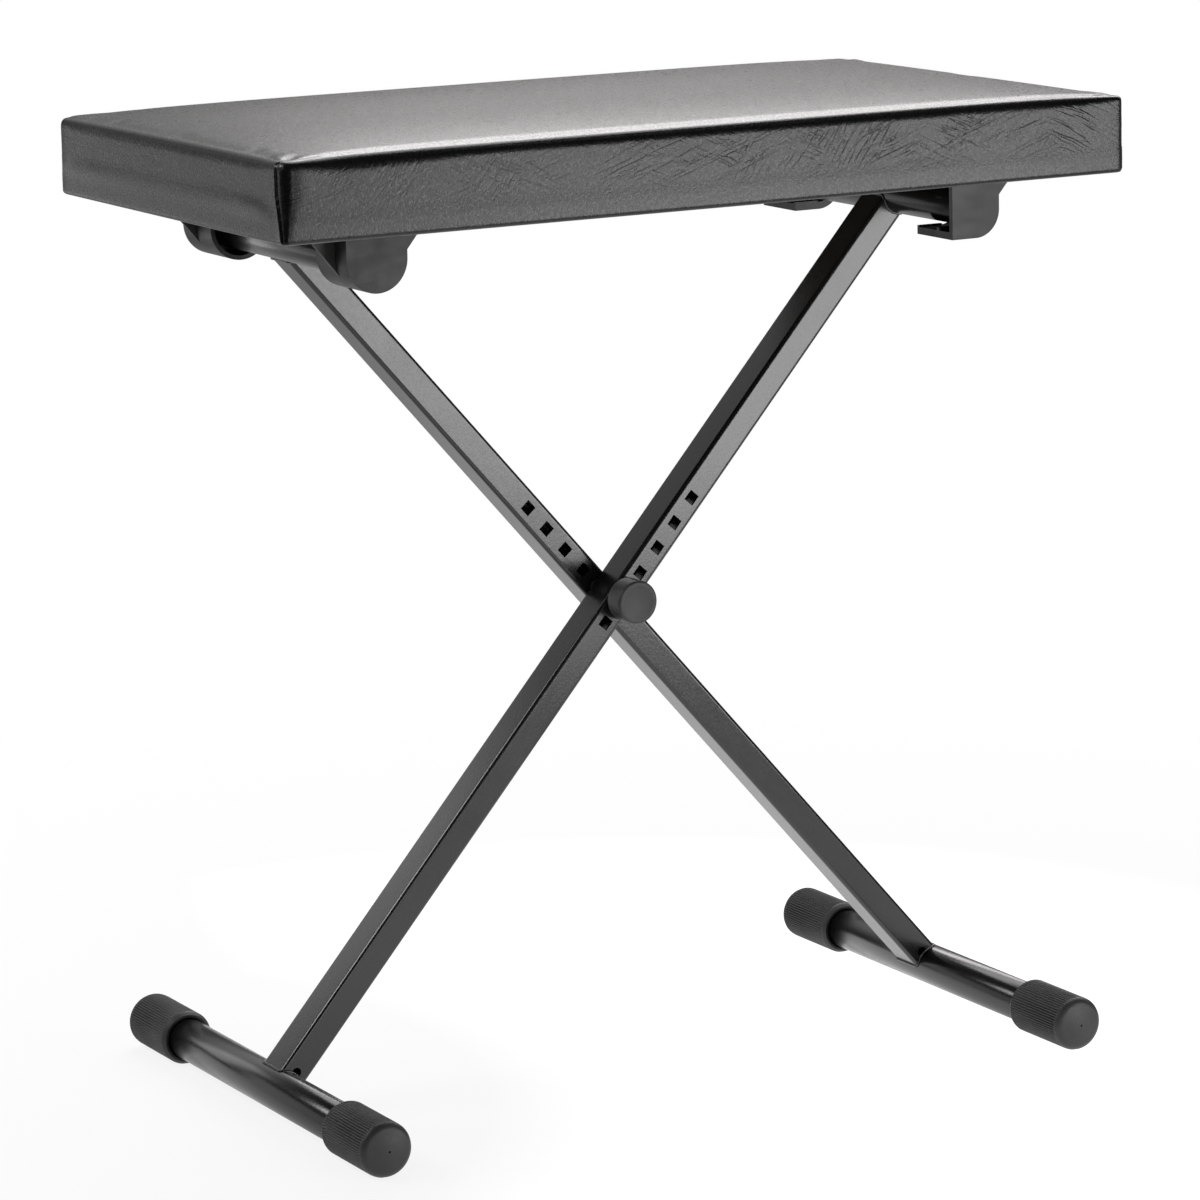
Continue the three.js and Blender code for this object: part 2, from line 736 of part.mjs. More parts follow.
const footBarHalf = footHalfLength - capEndWall - seatedGap;
const crossTubeHalf = bracketOuter - bracketPlate - tubeEndPlay;
const pluggedTubeHalf = crossTubeHalf - plugHead - seatedGap;
makeRoundTube('right_foot_bar', footBarRadius, footBarHalf, footAxisX, footAxisHeight);
makeRoundTube('left_foot_bar', footBarRadius, footBarHalf, -footAxisX, footAxisHeight);
makeRoundTube('left_cross_tube', crossTubeRadius, crossTubeHalf, -headX, headHeight);
makeRoundTube('right_cross_tube', crossTubeRadius, pluggedTubeHalf, headX, headHeight);
makePlug('right_cross_tube_front_plug', headX, -1, pluggedTubeHalf);
makePlug('right_cross_tube_rear_plug', headX, 1, pluggedTubeHalf);
makeFootCap('right_front_foot_cap', footAxisX, -1);
makeFootCap('right_rear_foot_cap', footAxisX, 1);
makeFootCap('left_front_foot_cap', -footAxisX, -1);
makeFootCap('left_rear_foot_cap', -footAxisX, 1);

export default bench;
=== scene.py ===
import math

import bmesh
import bpy
from mathutils import Matrix, Vector, noise


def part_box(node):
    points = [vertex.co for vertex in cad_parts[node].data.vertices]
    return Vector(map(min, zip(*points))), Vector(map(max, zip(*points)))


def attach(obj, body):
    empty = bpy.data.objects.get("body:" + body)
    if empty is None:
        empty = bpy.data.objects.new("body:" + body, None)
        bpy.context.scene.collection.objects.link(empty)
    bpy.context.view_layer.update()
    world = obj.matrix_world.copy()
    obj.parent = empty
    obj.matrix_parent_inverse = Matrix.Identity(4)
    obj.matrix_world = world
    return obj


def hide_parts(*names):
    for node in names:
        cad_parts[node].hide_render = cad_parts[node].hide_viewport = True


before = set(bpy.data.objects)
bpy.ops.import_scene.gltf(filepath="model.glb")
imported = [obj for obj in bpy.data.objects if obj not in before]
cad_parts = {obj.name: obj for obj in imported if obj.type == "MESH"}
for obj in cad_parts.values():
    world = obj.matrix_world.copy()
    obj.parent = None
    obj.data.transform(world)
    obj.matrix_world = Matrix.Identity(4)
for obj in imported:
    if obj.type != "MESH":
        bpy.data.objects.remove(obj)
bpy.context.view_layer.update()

MM = 0.001
TURN = 2 * math.pi

# The photograph's frame and camera
PHOTO_SIDE = 1200
FOCAL_PIXELS = 5170.36
MIDDLE_ACROSS = 636.22
MIDDLE_DOWN = 597.98
SENSOR_WIDTH = 36
CAMERA_PLACE = Vector((-1.4669, -2.6864, 0.890))
CAMERA_YAW = 29.02
CAMERA_PITCH = 11.26
CAMERA_ROLL = -1.18

# Ways to the white backdrop and to the dim side of the room, seen from the bench
BACKDROP_SIDE = (0.485, 0.874, 0)
DIM_SIDE = (-0.874, -0.485, 0)

# Seat cushion
COVER_THICKNESS = 1.2 * MM
BOARD_GAP = 0.3 * MM
CELL = 4.5 * MM
LONG_EDGE = 6.2 * MM
END_EDGE = 4.6 * MM
CORNER_EDGE = 3 * MM
BOTTOM_EDGE = 3 * MM
CORNER_RADIUS = 5.5 * MM
FOLDED_RADIUS = 10.5 * MM
FOLDED_FOOT_RADIUS = 4.5 * MM
FOLDED_RISE = 30 * MM
CORNER_REACH = 40 * MM
SWELL_X = 1.6 * MM
SWELL_Y = 1.2 * MM
DRAW_IN = 0.9 * MM
EDGE_STRETCH = 1.6
ROUND_STRETCH = 0.95
END_DROP = 2.0 * MM
CROWN = 3.8 * MM
HEM_WIDTH = 22 * MM
CLOTH_FRAMES = 20
SWELL_MOST = 0.8 * MM
SHRINK_MOST = 0.25 * MM
FOLD_PLACE = 0.07
FOLD_DEPTH = 1.2 * MM
FOLD_LIP = 0.35 * MM
FOLD_NOTCH = 0.9 * MM

# Foot caps
GROOVES = 66
GROOVE_DEPTH = 0.8 * MM


# Small mesh helpers

def new_piece(name, mesh, material, body, slot, *nodes):
    """A finished piece in the row frame that rides on a body and stands for CAD nodes."""
    mesh.name = name
    piece = bpy.data.objects.new(name, mesh)
    bpy.context.scene.collection.objects.link(piece)
    if material:
        mesh.materials.clear()
        mesh.materials.append(material)
    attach(piece, body)
    if nodes:
        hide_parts(*nodes)
    return piece


def mesh_of(bm, smooth_below=40):
    """A mesh from bmesh, smooth except across edges sharper than the angle."""
    bmesh.ops.recalc_face_normals(bm, faces=bm.faces)
    mesh = bpy.data.meshes.new("mesh")
    bm.to_mesh(mesh)
    bm.free()
    mesh.shade_smooth()
    mesh.set_sharp_from_angle(angle=math.radians(smooth_below))
    return mesh


def rings_to_bmesh(rings, closed_ends=True, wraps=False):
    """Rings of points joined one to the next. The last joins the first where the shape wraps."""
    bm = bmesh.new()
    rows = [[bm.verts.new(point) for point in ring] for ring in rings]
    count = len(rows[0])
    pairs = list(zip(rows, rows[1:]))
    if wraps:
        pairs.append((rows[-1], rows[0]))
    for near, far in pairs:
        for step in range(count):
            after = (step + 1) % count
            bm.faces.new((near[step], near[after], far[after], far[step]))
    if closed_ends and not wraps:
        bm.faces.new(rows[0])
        bm.faces.new(rows[-1])
    return bm


def along_y(x, z):
    """The place of a turned piece whose axis runs along Y."""
    return Matrix.Translation((x, 0, z))


def turned(profile, place, steps=96, wraps=False):
    """A turned piece about Y, from pairs of radius and Y."""
    rings = []
    for radius, y in profile:
        ring = []
        for step in range(steps):
            angle = TURN * step / steps
            ring.append(place @ Vector((radius * math.cos(angle), y, radius * math.sin(angle))))
        rings.append(ring)
    return rings_to_bmesh(rings, wraps=wraps)


def round_edge(radius_at, y_at, size, radius_way, y_way, steps=4):
    """Points of a quarter round at the corner of a turned profile, from its side to its end face."""
    points = []
    for step in range(steps + 1):
        angle = math.pi / 2 * step / steps
        points.append((
            radius_at - radius_way * size * (1 - math.cos(angle)),
            y_at - y_way * size * (1 - math.sin(angle)),
        ))
    return points


def axis_of(node):
    """Centre x, centre z, radius, lowest y and highest y of a node that is round about Y."""
    low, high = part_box(node)
    return (low.x + high.x) / 2, (low.z + high.z) / 2, (high.x - low.x) / 2, low.y, high.y


def rounded_copy(node, width, segments=2, angle=42):
    """A copy of a CAD node's mesh with its sharp edges rounded."""
    bm = bmesh.new()
    bm.from_mesh(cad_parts[node].data)
    bmesh.ops.remove_doubles(bm, verts=bm.verts, dist=0.01 * MM)
    bmesh.ops.dissolve_limit(bm, angle_limit=math.radians(2), verts=bm.verts, edges=bm.edges)
    mesh = mesh_of(bm, angle)
    holder = bpy.data.objects.new("rounding", mesh)
    bpy.context.scene.collection.objects.link(holder)
    bevel = holder.modifiers.new("edges", "BEVEL")
    bevel.width = width
    bevel.segments = segments
    bevel.limit_method = "ANGLE"
    bevel.angle_limit = math.radians(angle)
    bevel.miter_outer = "MITER_ARC"
    bevel.use_clamp_overlap = True
    weighted = holder.modifiers.new("flats", "WEIGHTED_NORMAL")
    weighted.keep_sharp = False
    return applied(holder, smooth=True)


def applied(holder, smooth=False):
    """The mesh of an object with its modifiers applied. The object goes."""
    graph = bpy.context.evaluated_depsgraph_get()
    mesh = bpy.data.meshes.new_from_object(holder.evaluated_get(graph), preserve_all_data_layers=True,
                                           depsgraph=graph)
    if smooth:
        mesh.polygons.foreach_set("use_smooth", [True] * len(mesh.polygons))
    bpy.data.objects.remove(holder)
    return mesh


# Small material helpers

def add_node(tree, kind, inputs=None, **settings):
    """A node with its settings and inputs, which are sockets to link or plain values."""
    made = tree.nodes.new(kind)
    for key, value in settings.items():
        setattr(made, key, value)
    for key, value in (inputs or {}).items():
        if isinstance(value, bpy.types.NodeSocket):
            tree.links.new(value, made.inputs[key])
        else:
            made.inputs[key].default_value = value
    return made


def new_material(name):
    material = bpy.data.materials.new(name)
    material.use_nodes = True
    tree = material.node_tree
    shader = tree.nodes["Principled BSDF"]
    place = add_node(tree, "ShaderNodeTexCoord").outputs["Object"]
    return material, tree, shader, place


def stretched(tree, place, scale):
    return add_node(tree, "ShaderNodeMapping", {"Vector": place, "Scale": scale}).outputs["Vector"]


def noise_value(tree, place, scale, detail=2.0, roughness=0.5, distortion=0.0):
    return add_node(tree, "ShaderNodeTexNoise", {
        "Vector": place, "Scale": scale, "Detail": detail, "Roughness": roughness, "Distortion": distortion,
    }).outputs["Fac"]


def ramp(tree, value, *stops):
    """A colour ramp from pairs of place and colour."""
    made = add_node(tree, "ShaderNodeValToRGB", {"Fac": value})
    elements = made.color_ramp.elements
    while len(elements) < len(stops):
        elements.new(0.5)
    for element, (place, colour) in zip(elements, stops):
        element.position = place
        element.color = (*colour, 1)
    return made.outputs["Color"]


def between(tree, value, low, high, out_low=0.0, out_high=1.0):
    return add_node(tree, "ShaderNodeMapRange", {
        "Value": value, "From Min": low, "From Max": high, "To Min": out_low, "To Max": out_high,
    }, clamp=True).outputs["Result"]


def maths(tree, operation, first, second=0.0):
    made = add_node(tree, "ShaderNodeMath", operation=operation)
    for socket, value in zip(made.inputs, (first, second)):
        if isinstance(value, bpy.types.NodeSocket):
            tree.links.new(value, socket)
        else:
            socket.default_value = value
    return made.outputs["Value"]


def bumped(tree, shader, *layers):
    """Bump layers, each a height socket and its depth in metres, one over the next."""
    normal = None
    for height, depth in layers:
        bump = add_node(tree, "ShaderNodeBump", {"Height": height, "Strength": 1.0, "Distance": depth})
        if normal is not None:
            tree.links.new(normal, bump.inputs["Normal"])
        normal = bump.outputs["Normal"]
    tree.links.new(normal, shader.inputs["Normal"])


def grey(level, warmth=0.0):
    return (level * (1 + warmth), level, level * (1 - warmth))


# Materials

def thin_lines(tree, place, angle, along, across, width):
    """Long thin lines that run at an angle up from the X axis: 0 on a line and 1 off it."""
    turned_place = add_node(tree, "ShaderNodeMapping", {"Vector": place, "Rotation": (0, angle, 0)}).outputs["Vector"]
    field = noise_value(tree, stretched(tree, turned_place, (along, along, across)), 1.0, 2.0, 0.5)
    return between(tree, maths(tree, "ABSOLUTE", maths(tree, "SUBTRACT", field, 0.5)), 0.0, width)


def make_leatherette():
    """Black grained leatherette: a fine pebbled grain, thin creases on its long sides and a soft sheen."""
    material, tree, shader, place = new_material("leatherette")
    pebble = add_node(tree, "ShaderNodeTexVoronoi", {"Vector": place, "Scale": 1350.0, "Randomness": 1.0},
                      feature="SMOOTH_F1").outputs["Distance"]
    grain = noise_value(tree, place, 1800.0, 2.0, 0.6)
    speck = noise_value(tree, place, 520.0, 2.0, 0.65)
    broad = noise_value(tree, place, 14.0, 3.0, 0.55)
    swell = noise_value(tree, stretched(tree, place, (28.0, 28.0, 55.0)), 1.0, 2.0, 0.5)

    # Creases: sets of thin lines that cross, each in its own patches on the upper part of the sides
    warp = add_node(tree, "ShaderNodeTexNoise", {"Vector": place, "Scale": 30.0, "Detail": 2.0}).outputs["Color"]
    lift = add_node(tree, "ShaderNodeVectorMath", {0: warp, 1: (0.003, 0.003, 0.003)}, operation="MULTIPLY")
    warped = add_node(tree, "ShaderNodeVectorMath", {0: place, 1: lift.outputs["Vector"]}, operation="ADD")
    warped = warped.outputs["Vector"]
    split = add_node(tree, "ShaderNodeSeparateXYZ", {"Vector": place}).outputs
    upper = maths(tree, "MULTIPLY", between(tree, split["Z"], 0.543, 0.556), between(tree, split["Z"], 0.573, 0.577, 1.0, 0.0))
    worn_side = maths(tree, "MULTIPLY", upper, between(tree, split["X"], -0.16, 0.08, 0.45, 1.0))
    crease = None
    for angle, along, across, seed in ((0.36, 16.0, 190.0, 0.0), (-0.45, 24.0, 230.0, 3.1), (0.95, 34.0, 210.0, 7.4)):
        lines = thin_lines(tree, warped, angle, along, across, 0.055)
        moved = add_node(tree, "ShaderNodeVectorMath", {0: place, 1: (seed, seed, seed)}, operation="ADD")
        patch = between(tree, noise_value(tree, moved.outputs["Vector"], 26.0, 1.0, 0.5), 0.42, 0.6)
        shown = maths(tree, "MULTIPLY", maths(tree, "SUBTRACT", 1.0, lines), maths(tree, "MULTIPLY", worn_side, patch))
        kept = maths(tree, "SUBTRACT", 1.0, shown)
        crease = kept if crease is None else maths(tree, "MULTIPLY", crease, kept)

    # The base colour is a random tone, painted darker by up to a third in the grooves between the grain's pebbles:
    # painted shade in the grain.
    colour = ramp(tree, maths(tree, "MULTIPLY", broad, between(tree, pebble, 0.1, 0.75, 1.0, 0.7)),
                  (0.2, grey(0.002, 0.04)), (0.75, grey(0.005, 0.05)))
    tree.links.new(colour, shader.inputs["Base Color"])
    tree.links.new(between(tree, speck, 0.35, 0.65, 0.25, 0.33),
                   shader.inputs["Roughness"])
    shader.inputs["IOR"].default_value = 1.45
    bumped(tree, shader, (swell, 0.00010), (pebble, -0.00009), (speck, 0.00004), (grain, 0.00003), (crease, 0.00012))
    return material


def make_powder_coat():
    """Black powder coat on steel: satin, with a fine orange peel."""
    material, tree, shader, place = new_material("powder_coat")
    peel = noise_value(tree, place, 620.0, 2.0, 0.45)
    broad = noise_value(tree, place, 22.0, 3.0, 0.5)
    colour = ramp(tree, broad, (0.3, grey(0.004, 0.03)), (0.7, grey(0.007, 0.03)))
    tree.links.new(colour, shader.inputs["Base Color"])
    tree.links.new(between(tree, maths(tree, "ADD", broad, peel), 0.6, 1.4, 0.19, 0.27),
                   shader.inputs["Roughness"])
    shader.inputs["IOR"].default_value = 1.6
    bumped(tree, shader, (peel, 0.00003))
    return material


def make_moulded_plastic():
    """Black moulded plastic: smooth, with faint flow marks and a fine mould texture."""
    material, tree, shader, place = new_material("moulded_plastic")
    flow = noise_value(tree, stretched(tree, place, (40.0, 40.0, 110.0)), 1.0, 3.0, 0.5, 0.6)
    fine = noise_value(tree, place, 1400.0, 1.0, 0.5)
    sinks = noise_value(tree, place, 32.0, 2.0, 0.5)
    colour = ramp(tree, sinks, (0.35, grey(0.006, 0.02)), (0.65, grey(0.024, 0.03)))
    tree.links.new(colour, shader.inputs["Base Color"])
    tree.links.new(between(tree, flow, 0.3, 0.7, 0.42, 0.50), shader.inputs["Roughness"])
    shader.inputs["IOR"].default_value = 1.42
    bumped(tree, shader, (sinks, 0.0016), (flow, 0.00012), (fine, 0.000015))
    return material


def make_rubber():
    """Black rubber: dull, with a dull bloom that varies its tone and roughness in patches."""
    material, tree, shader, place = new_material("rubber")
    fine = noise_value(tree, place, 1100.0, 3.0, 0.6)
    bloom = noise_value(tree, place, 60.0, 4.0, 0.6)
    colour = ramp(tree, bloom, (0.3, grey(0.014, 0.0)), (0.75, grey(0.026, 0.0)))
    tree.links.new(colour, shader.inputs["Base Color"])
    tree.links.new(between(tree, bloom, 0.3, 0.7, 0.44, 0.56), shader.inputs["Roughness"])
    bumped(tree, shader, (fine, 0.00009))
    return material


def make_knob_plastic():
    """Black plastic with an even spark-textured face."""
    material, tree, shader, place = new_material("knob_plastic")
    spark = add_node(tree, "ShaderNodeTexVoronoi", {"Vector": place, "Scale": 2100.0},
                     feature="F1").outputs["Distance"]
    broad = noise_value(tree, place, 90.0, 3.0, 0.5)
    colour = ramp(tree, broad, (0.3, grey(0.024, 0.02)), (0.7, grey(0.034, 0.02)))
    tree.links.new(colour, shader.inputs["Base Color"])
    tree.links.new(between(tree, spark, 0.1, 0.8, 0.46, 0.58), shader.inputs["Roughness"])
    bumped(tree, shader, (spark, 0.00004))
    return material


def make_metal(name, dark, light, low_roughness, high_roughness, mark_scale):
    """Plated or bare metal with faint marks and small changes of shade."""
    material, tree, shader, place = new_material(name)
    marks = noise_value(tree, stretched(tree, place, (mark_scale, mark_scale * 4, mark_scale)), 1.0, 4.0, 0.6)
    shade = noise_value(tree, place, mark_scale / 4, 2.0, 0.5)
    tree.links.new(ramp(tree, shade, (0.3, dark), (0.7, light)), shader.inputs["Base Color"])
    tree.links.new(between(tree, marks, 0.3, 0.7, low_roughness, high_roughness), shader.inputs["Roughness"])
    shader.inputs["Metallic"].default_value = 1.0
    bumped(tree, shader, (marks, 0.00001))
    return material


def make_board_wood():
    """The board's underside: plywood stained nearly black, with its long grain still showing."""
    material, tree, shader, place = new_material("board_wood")
    grain = noise_value(tree, stretched(tree, place, (6.0, 160.0, 160.0)), 1.0, 5.0, 0.6, 0.4)
    pores = noise_value(tree, stretched(tree, place, (60.0, 1500.0, 1500.0)), 1.0, 2.0, 0.6)
    mixed = maths(tree, "ADD", maths(tree, "MULTIPLY", grain, 0.75), maths(tree, "MULTIPLY", pores, 0.25))
    colour = ramp(tree, mixed, (0.3, (0.014, 0.009, 0.006)), (0.5, (0.026, 0.017, 0.011)), (0.72, (0.044, 0.030, 0.020)))
    tree.links.new(colour, shader.inputs["Base Color"])
    shader.inputs["Roughness"].default_value = 0.72
    bumped(tree, shader, (pores, 0.00008))
    return material


leatherette = make_leatherette()
powder_coat = make_powder_coat()
moulded_plastic = make_moulded_plastic()
rubber = make_rubber()
knob_plastic = make_knob_plastic()
zinc = make_metal("zinc_plate", (0.42, 0.43, 0.44), (0.58, 0.58, 0.57), 0.28, 0.42, 260.0)
black_steel = make_metal("black_steel", (0.05, 0.05, 0.052), (0.085, 0.085, 0.085), 0.34, 0.48, 220.0)
brass = make_metal("brass", (0.48, 0.33, 0.13), (0.66, 0.48, 0.22), 0.28, 0.4, 240.0)
board_wood = make_board_wood()


# Seat cushion: a closed padded form over the board, hemmed below

seat_low, seat_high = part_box("seat_cover")
board_low, board_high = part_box("seat_board")
HALF_LENGTH = seat_high.x + SWELL_X
HALF_DEPTH = seat_high.y + SWELL_Y
SEAT_BOTTOM = seat_low.z
SEAT_TOP = seat_high.z
BOARD_TOP = board_high.z


def smooth_step(value, low, high):
    share = min(1.0, max(0.0, (value - low) / (high - low)))
    return share * share * (3 - 2 * share)


def grid_lines(half):
    """Places from -half to half, close together near the ends."""
    near = [END_EDGE * share for share in (0, 0.14, 0.3, 0.5, 0.75, 1, 1.3, 1.7)]
    inner = half - near[-1]
    steps = round(2 * inner / CELL)
    middle = [-inner + 2 * inner * step / steps for step in range(steps + 1)]
    return [-half + place for place in near[:-1]] + middle + [half - place for place in reversed(near[:-1])]


def square_to_round(a, b):
    """Moves a point of a square corner, measured from the arc's centre, onto the rounded corner."""
    if a <= 0 or b <= 0:
        return a, b
    scale = max(a, b) / math.hypot(a, b)
    return a * scale, b * scale


def corner_radius(point):
    """The front corner over the left bracket is pulled round above a tight foot. The others are even."""
    if point.x > 0 or point.y > 0:
        return CORNER_RADIUS
    rise = smooth_step(point.z, SEAT_BOTTOM, SEAT_BOTTOM + FOLDED_RISE)
    return FOLDED_FOOT_RADIUS + (FOLDED_RADIUS - FOLDED_FOOT_RADIUS) * rise


def top_edge(x, y):
    """The radius of the cushion's top edge: large along its sides and small at its corners."""
    from_corner = max(0.0, HALF_LENGTH - abs(x)) + max(0.0, HALF_DEPTH - abs(y))
    side = LONG_EDGE if HALF_DEPTH - abs(y) < HALF_LENGTH - abs(x) else END_EDGE
    return CORNER_EDGE + (side - CORNER_EDGE) * smooth_step(from_corner, 0.0, CORNER_REACH)


def edge_stretch(x):
    """How much taller than deep the top edge is: most at the left end, where the cover is pulled round."""
    return EDGE_STRETCH + (ROUND_STRETCH - EDGE_STRETCH) * smooth_step(x, -0.24, -0.14)


def round_corner(point):
    """Moves a point of the plain box onto the cushion's upright corners."""
    radius = corner_radius(point)
    a = abs(point.x) - (HALF_LENGTH - radius)
    b = abs(point.y) - (HALF_DEPTH - radius)
    if a > 0 and b > 0:
        a, b = square_to_round(a, b)
        point.x = math.copysign(HALF_LENGTH - radius + a, point.x)
        point.y = math.copysign(HALF_DEPTH - radius + b, point.y)


def side_distance(point):
    """How far a point stands in from the nearest side of the cushion, and the way out."""
    radius = corner_radius(point)
    a = abs(point.x) - (HALF_LENGTH - radius)
    b = abs(point.y) - (HALF_DEPTH - radius)
    if a > 0 and b > 0:
        length = math.hypot(a, b)
        out = Vector((math.copysign(a / length, point.x), math.copysign(b / length, point.y), 0))
        return radius - length, out
    if a > b:
        return radius - a, Vector((math.copysign(1, point.x), 0, 0))
    return radius - b, Vector((0, math.copysign(1, point.y), 0))


def shape_cushion(bm):
    """Rounds the box's corners and edges, crowns its top and draws its sides in between the corners."""
    for vert in bm.verts:
        round_corner(vert.co)
        point = vert.co.copy()
        inset, out = side_distance(point)
        edge = top_edge(point.x, point.y)
        stretch = edge_stretch(point.x)
        a, b = edge - inset, edge - (SEAT_TOP - point.z) / stretch
        if a > 0 and b > 0:
            new_a, new_b = square_to_round(a, b)
            vert.co += out * (new_a - a) + Vector((0, 0, (new_b - b) * stretch))
        a, b = BOTTOM_EDGE - inset, BOTTOM_EDGE - (point.z - SEAT_BOTTOM)
        if a > 0 and b > 0:
            new_a, new_b = square_to_round(a, b)
            vert.co += out * (new_a - a) - Vector((0, 0, new_b - b))
        along = min(1.0, abs(point.x) / HALF_LENGTH)
        across = min(1.0, abs(point.y) / HALF_DEPTH)
        height = smooth_step(point.z, BOARD_TOP, SEAT_TOP)
        vert.co.z += height * (CROWN * (1 - along ** 4) * (1 - across ** 3.2) - END_DROP * along ** 8)
        pull = DRAW_IN * ((point.z - SEAT_BOTTOM) / (SEAT_TOP - SEAT_BOTTOM)) ** 2
        vert.co.y -= math.copysign(pull * math.cos(math.pi / 2 * along) * across ** 6, point.y)
        vert.co.x -= math.copysign(pull * math.cos(math.pi / 2 * across) * along ** 12, point.x)


def box_surface():
    """The box's surface as a grid of quads, with the hem's fold and a shallow recess inside it below."""
    xs = grid_lines(HALF_LENGTH)
    ys = grid_lines(HALF_DEPTH)
    first, last = SEAT_BOTTOM + BOTTOM_EDGE, SEAT_TOP - LONG_EDGE * EDGE_STRETCH
    side_cells = round((last - first) / CELL)
    zs = [SEAT_BOTTOM + BOTTOM_EDGE * share for share in (0, 0.35, 0.7)]
    zs += [first + (last - first) * step / side_cells for step in range(side_cells + 1)]
    zs += [SEAT_TOP - LONG_EDGE * EDGE_STRETCH * share for share in (0.84, 0.68, 0.52, 0.37, 0.23, 0.11, 0)]
    window_x = HALF_LENGTH - HEM_WIDTH
    window_y = HALF_DEPTH - HEM_WIDTH
    recess = SEAT_BOTTOM + COVER_THICKNESS + 2 * BOARD_GAP
    bm = bmesh.new()
    verts = {}

    def vert(i, j, k):
        key = (i, j, k)
        if key not in verts:
            verts[key] = bm.verts.new((xs[i], ys[j], recess if k < 0 else zs[k]))
        return verts[key]

    def quad(*keys):
        bm.faces.new([vert(*key) for key in keys])

    last_x, last_y, last_z = len(xs) - 1, len(ys) - 1, len(zs) - 1
    for i in range(last_x):
        for k in range(last_z):
            quad((i, 0, k), (i + 1, 0, k), (i + 1, 0, k + 1), (i, 0, k + 1))
            quad((i, last_y, k), (i, last_y, k + 1), (i + 1, last_y, k + 1), (i + 1, last_y, k))
    for j in range(last_y):
        for k in range(last_z):
            quad((0, j, k), (0, j, k + 1), (0, j + 1, k + 1), (0, j + 1, k))
            quad((last_x, j, k), (last_x, j + 1, k), (last_x, j + 1, k + 1), (last_x, j, k + 1))

    def in_window(i, j):
        middle_x = (xs[i] + xs[i + 1]) / 2
        middle_y = (ys[j] + ys[j + 1]) / 2
        return abs(middle_x) < window_x and abs(middle_y) < window_y

    for i in range(last_x):
        for j in range(last_y):
            quad((i, j, last_z), (i + 1, j, last_z), (i + 1, j + 1, last_z), (i, j + 1, last_z))
            level = -1 if in_window(i, j) else 0
            quad((i, j, level), (i, j + 1, level), (i + 1, j + 1, level), (i + 1, j, level))
            if level < 0:
                for di, dj, a, b in ((-1, 0, (i, j), (i, j + 1)), (1, 0, (i + 1, j), (i + 1, j + 1)),
                                     (0, -1, (i, j), (i + 1, j)), (0, 1, (i, j + 1), (i + 1, j + 1))):
                    if not in_window(i + di, j + dj):
                        quad((*a, 0), (*b, 0), (*b, -1), (*a, -1))
    bmesh.ops.recalc_face_normals(bm, faces=bm.faces)
    return bm


def inflate(mesh):
    """Cloth under pressure, held where the cover is stapled and where it lies on the board."""
    pad = bpy.data.objects.new("pad", mesh)
    bpy.context.scene.collection.objects.link(pad)
    held = pad.vertex_groups.new(name="held")
    start = [vert.co.copy() for vert in mesh.vertices]
    out = [vert.normal.copy() for vert in mesh.vertices]
    for vert in mesh.vertices:
        held.add([vert.index], 1.0 if vert.co.z < BOARD_TOP else 0.0, "REPLACE")
    cloth = pad.modifiers.new("pressure", "CLOTH")
    cloth.settings.vertex_group_mass = "held"
    cloth.settings.use_pressure = True
    cloth.settings.uniform_pressure_force = 4
    cloth.settings.effector_weights.gravity = 0
    cloth.settings.tension_stiffness = 25
    cloth.settings.compression_stiffness = 25
    cloth.settings.bending_stiffness = 2
    cloth.settings.quality = 5
    cloth.point_cache.frame_start = 1
    cloth.point_cache.frame_end = CLOTH_FRAMES
    scene = bpy.context.scene
    for step in range(1, CLOTH_FRAMES + 1):
        scene.frame_set(step)
    swollen = applied(pad)
    scene.frame_set(1)

    # The foam keeps the cover from sinking in, and the cover keeps the foam from swelling far
    for vert, before, way in zip(swollen.vertices, start, out):
        moved = vert.co - before
        outward = moved.dot(way)
        aside = moved - way * outward
        outward = min(SWELL_MOST, max(-SHRINK_MOST, outward))
        if aside.length > SHRINK_MOST:
            aside = aside.normalized() * SHRINK_MOST
        vert.co = before + way * outward + aside
    return swollen


def subdivided(mesh, levels=1):
    holder = bpy.data.objects.new("fine", mesh)
    bpy.context.scene.collection.objects.link(holder)
    fine = holder.modifiers.new("fine", "SUBSURF")
    fine.levels = fine.render_levels = levels
    return applied(holder, smooth=True)


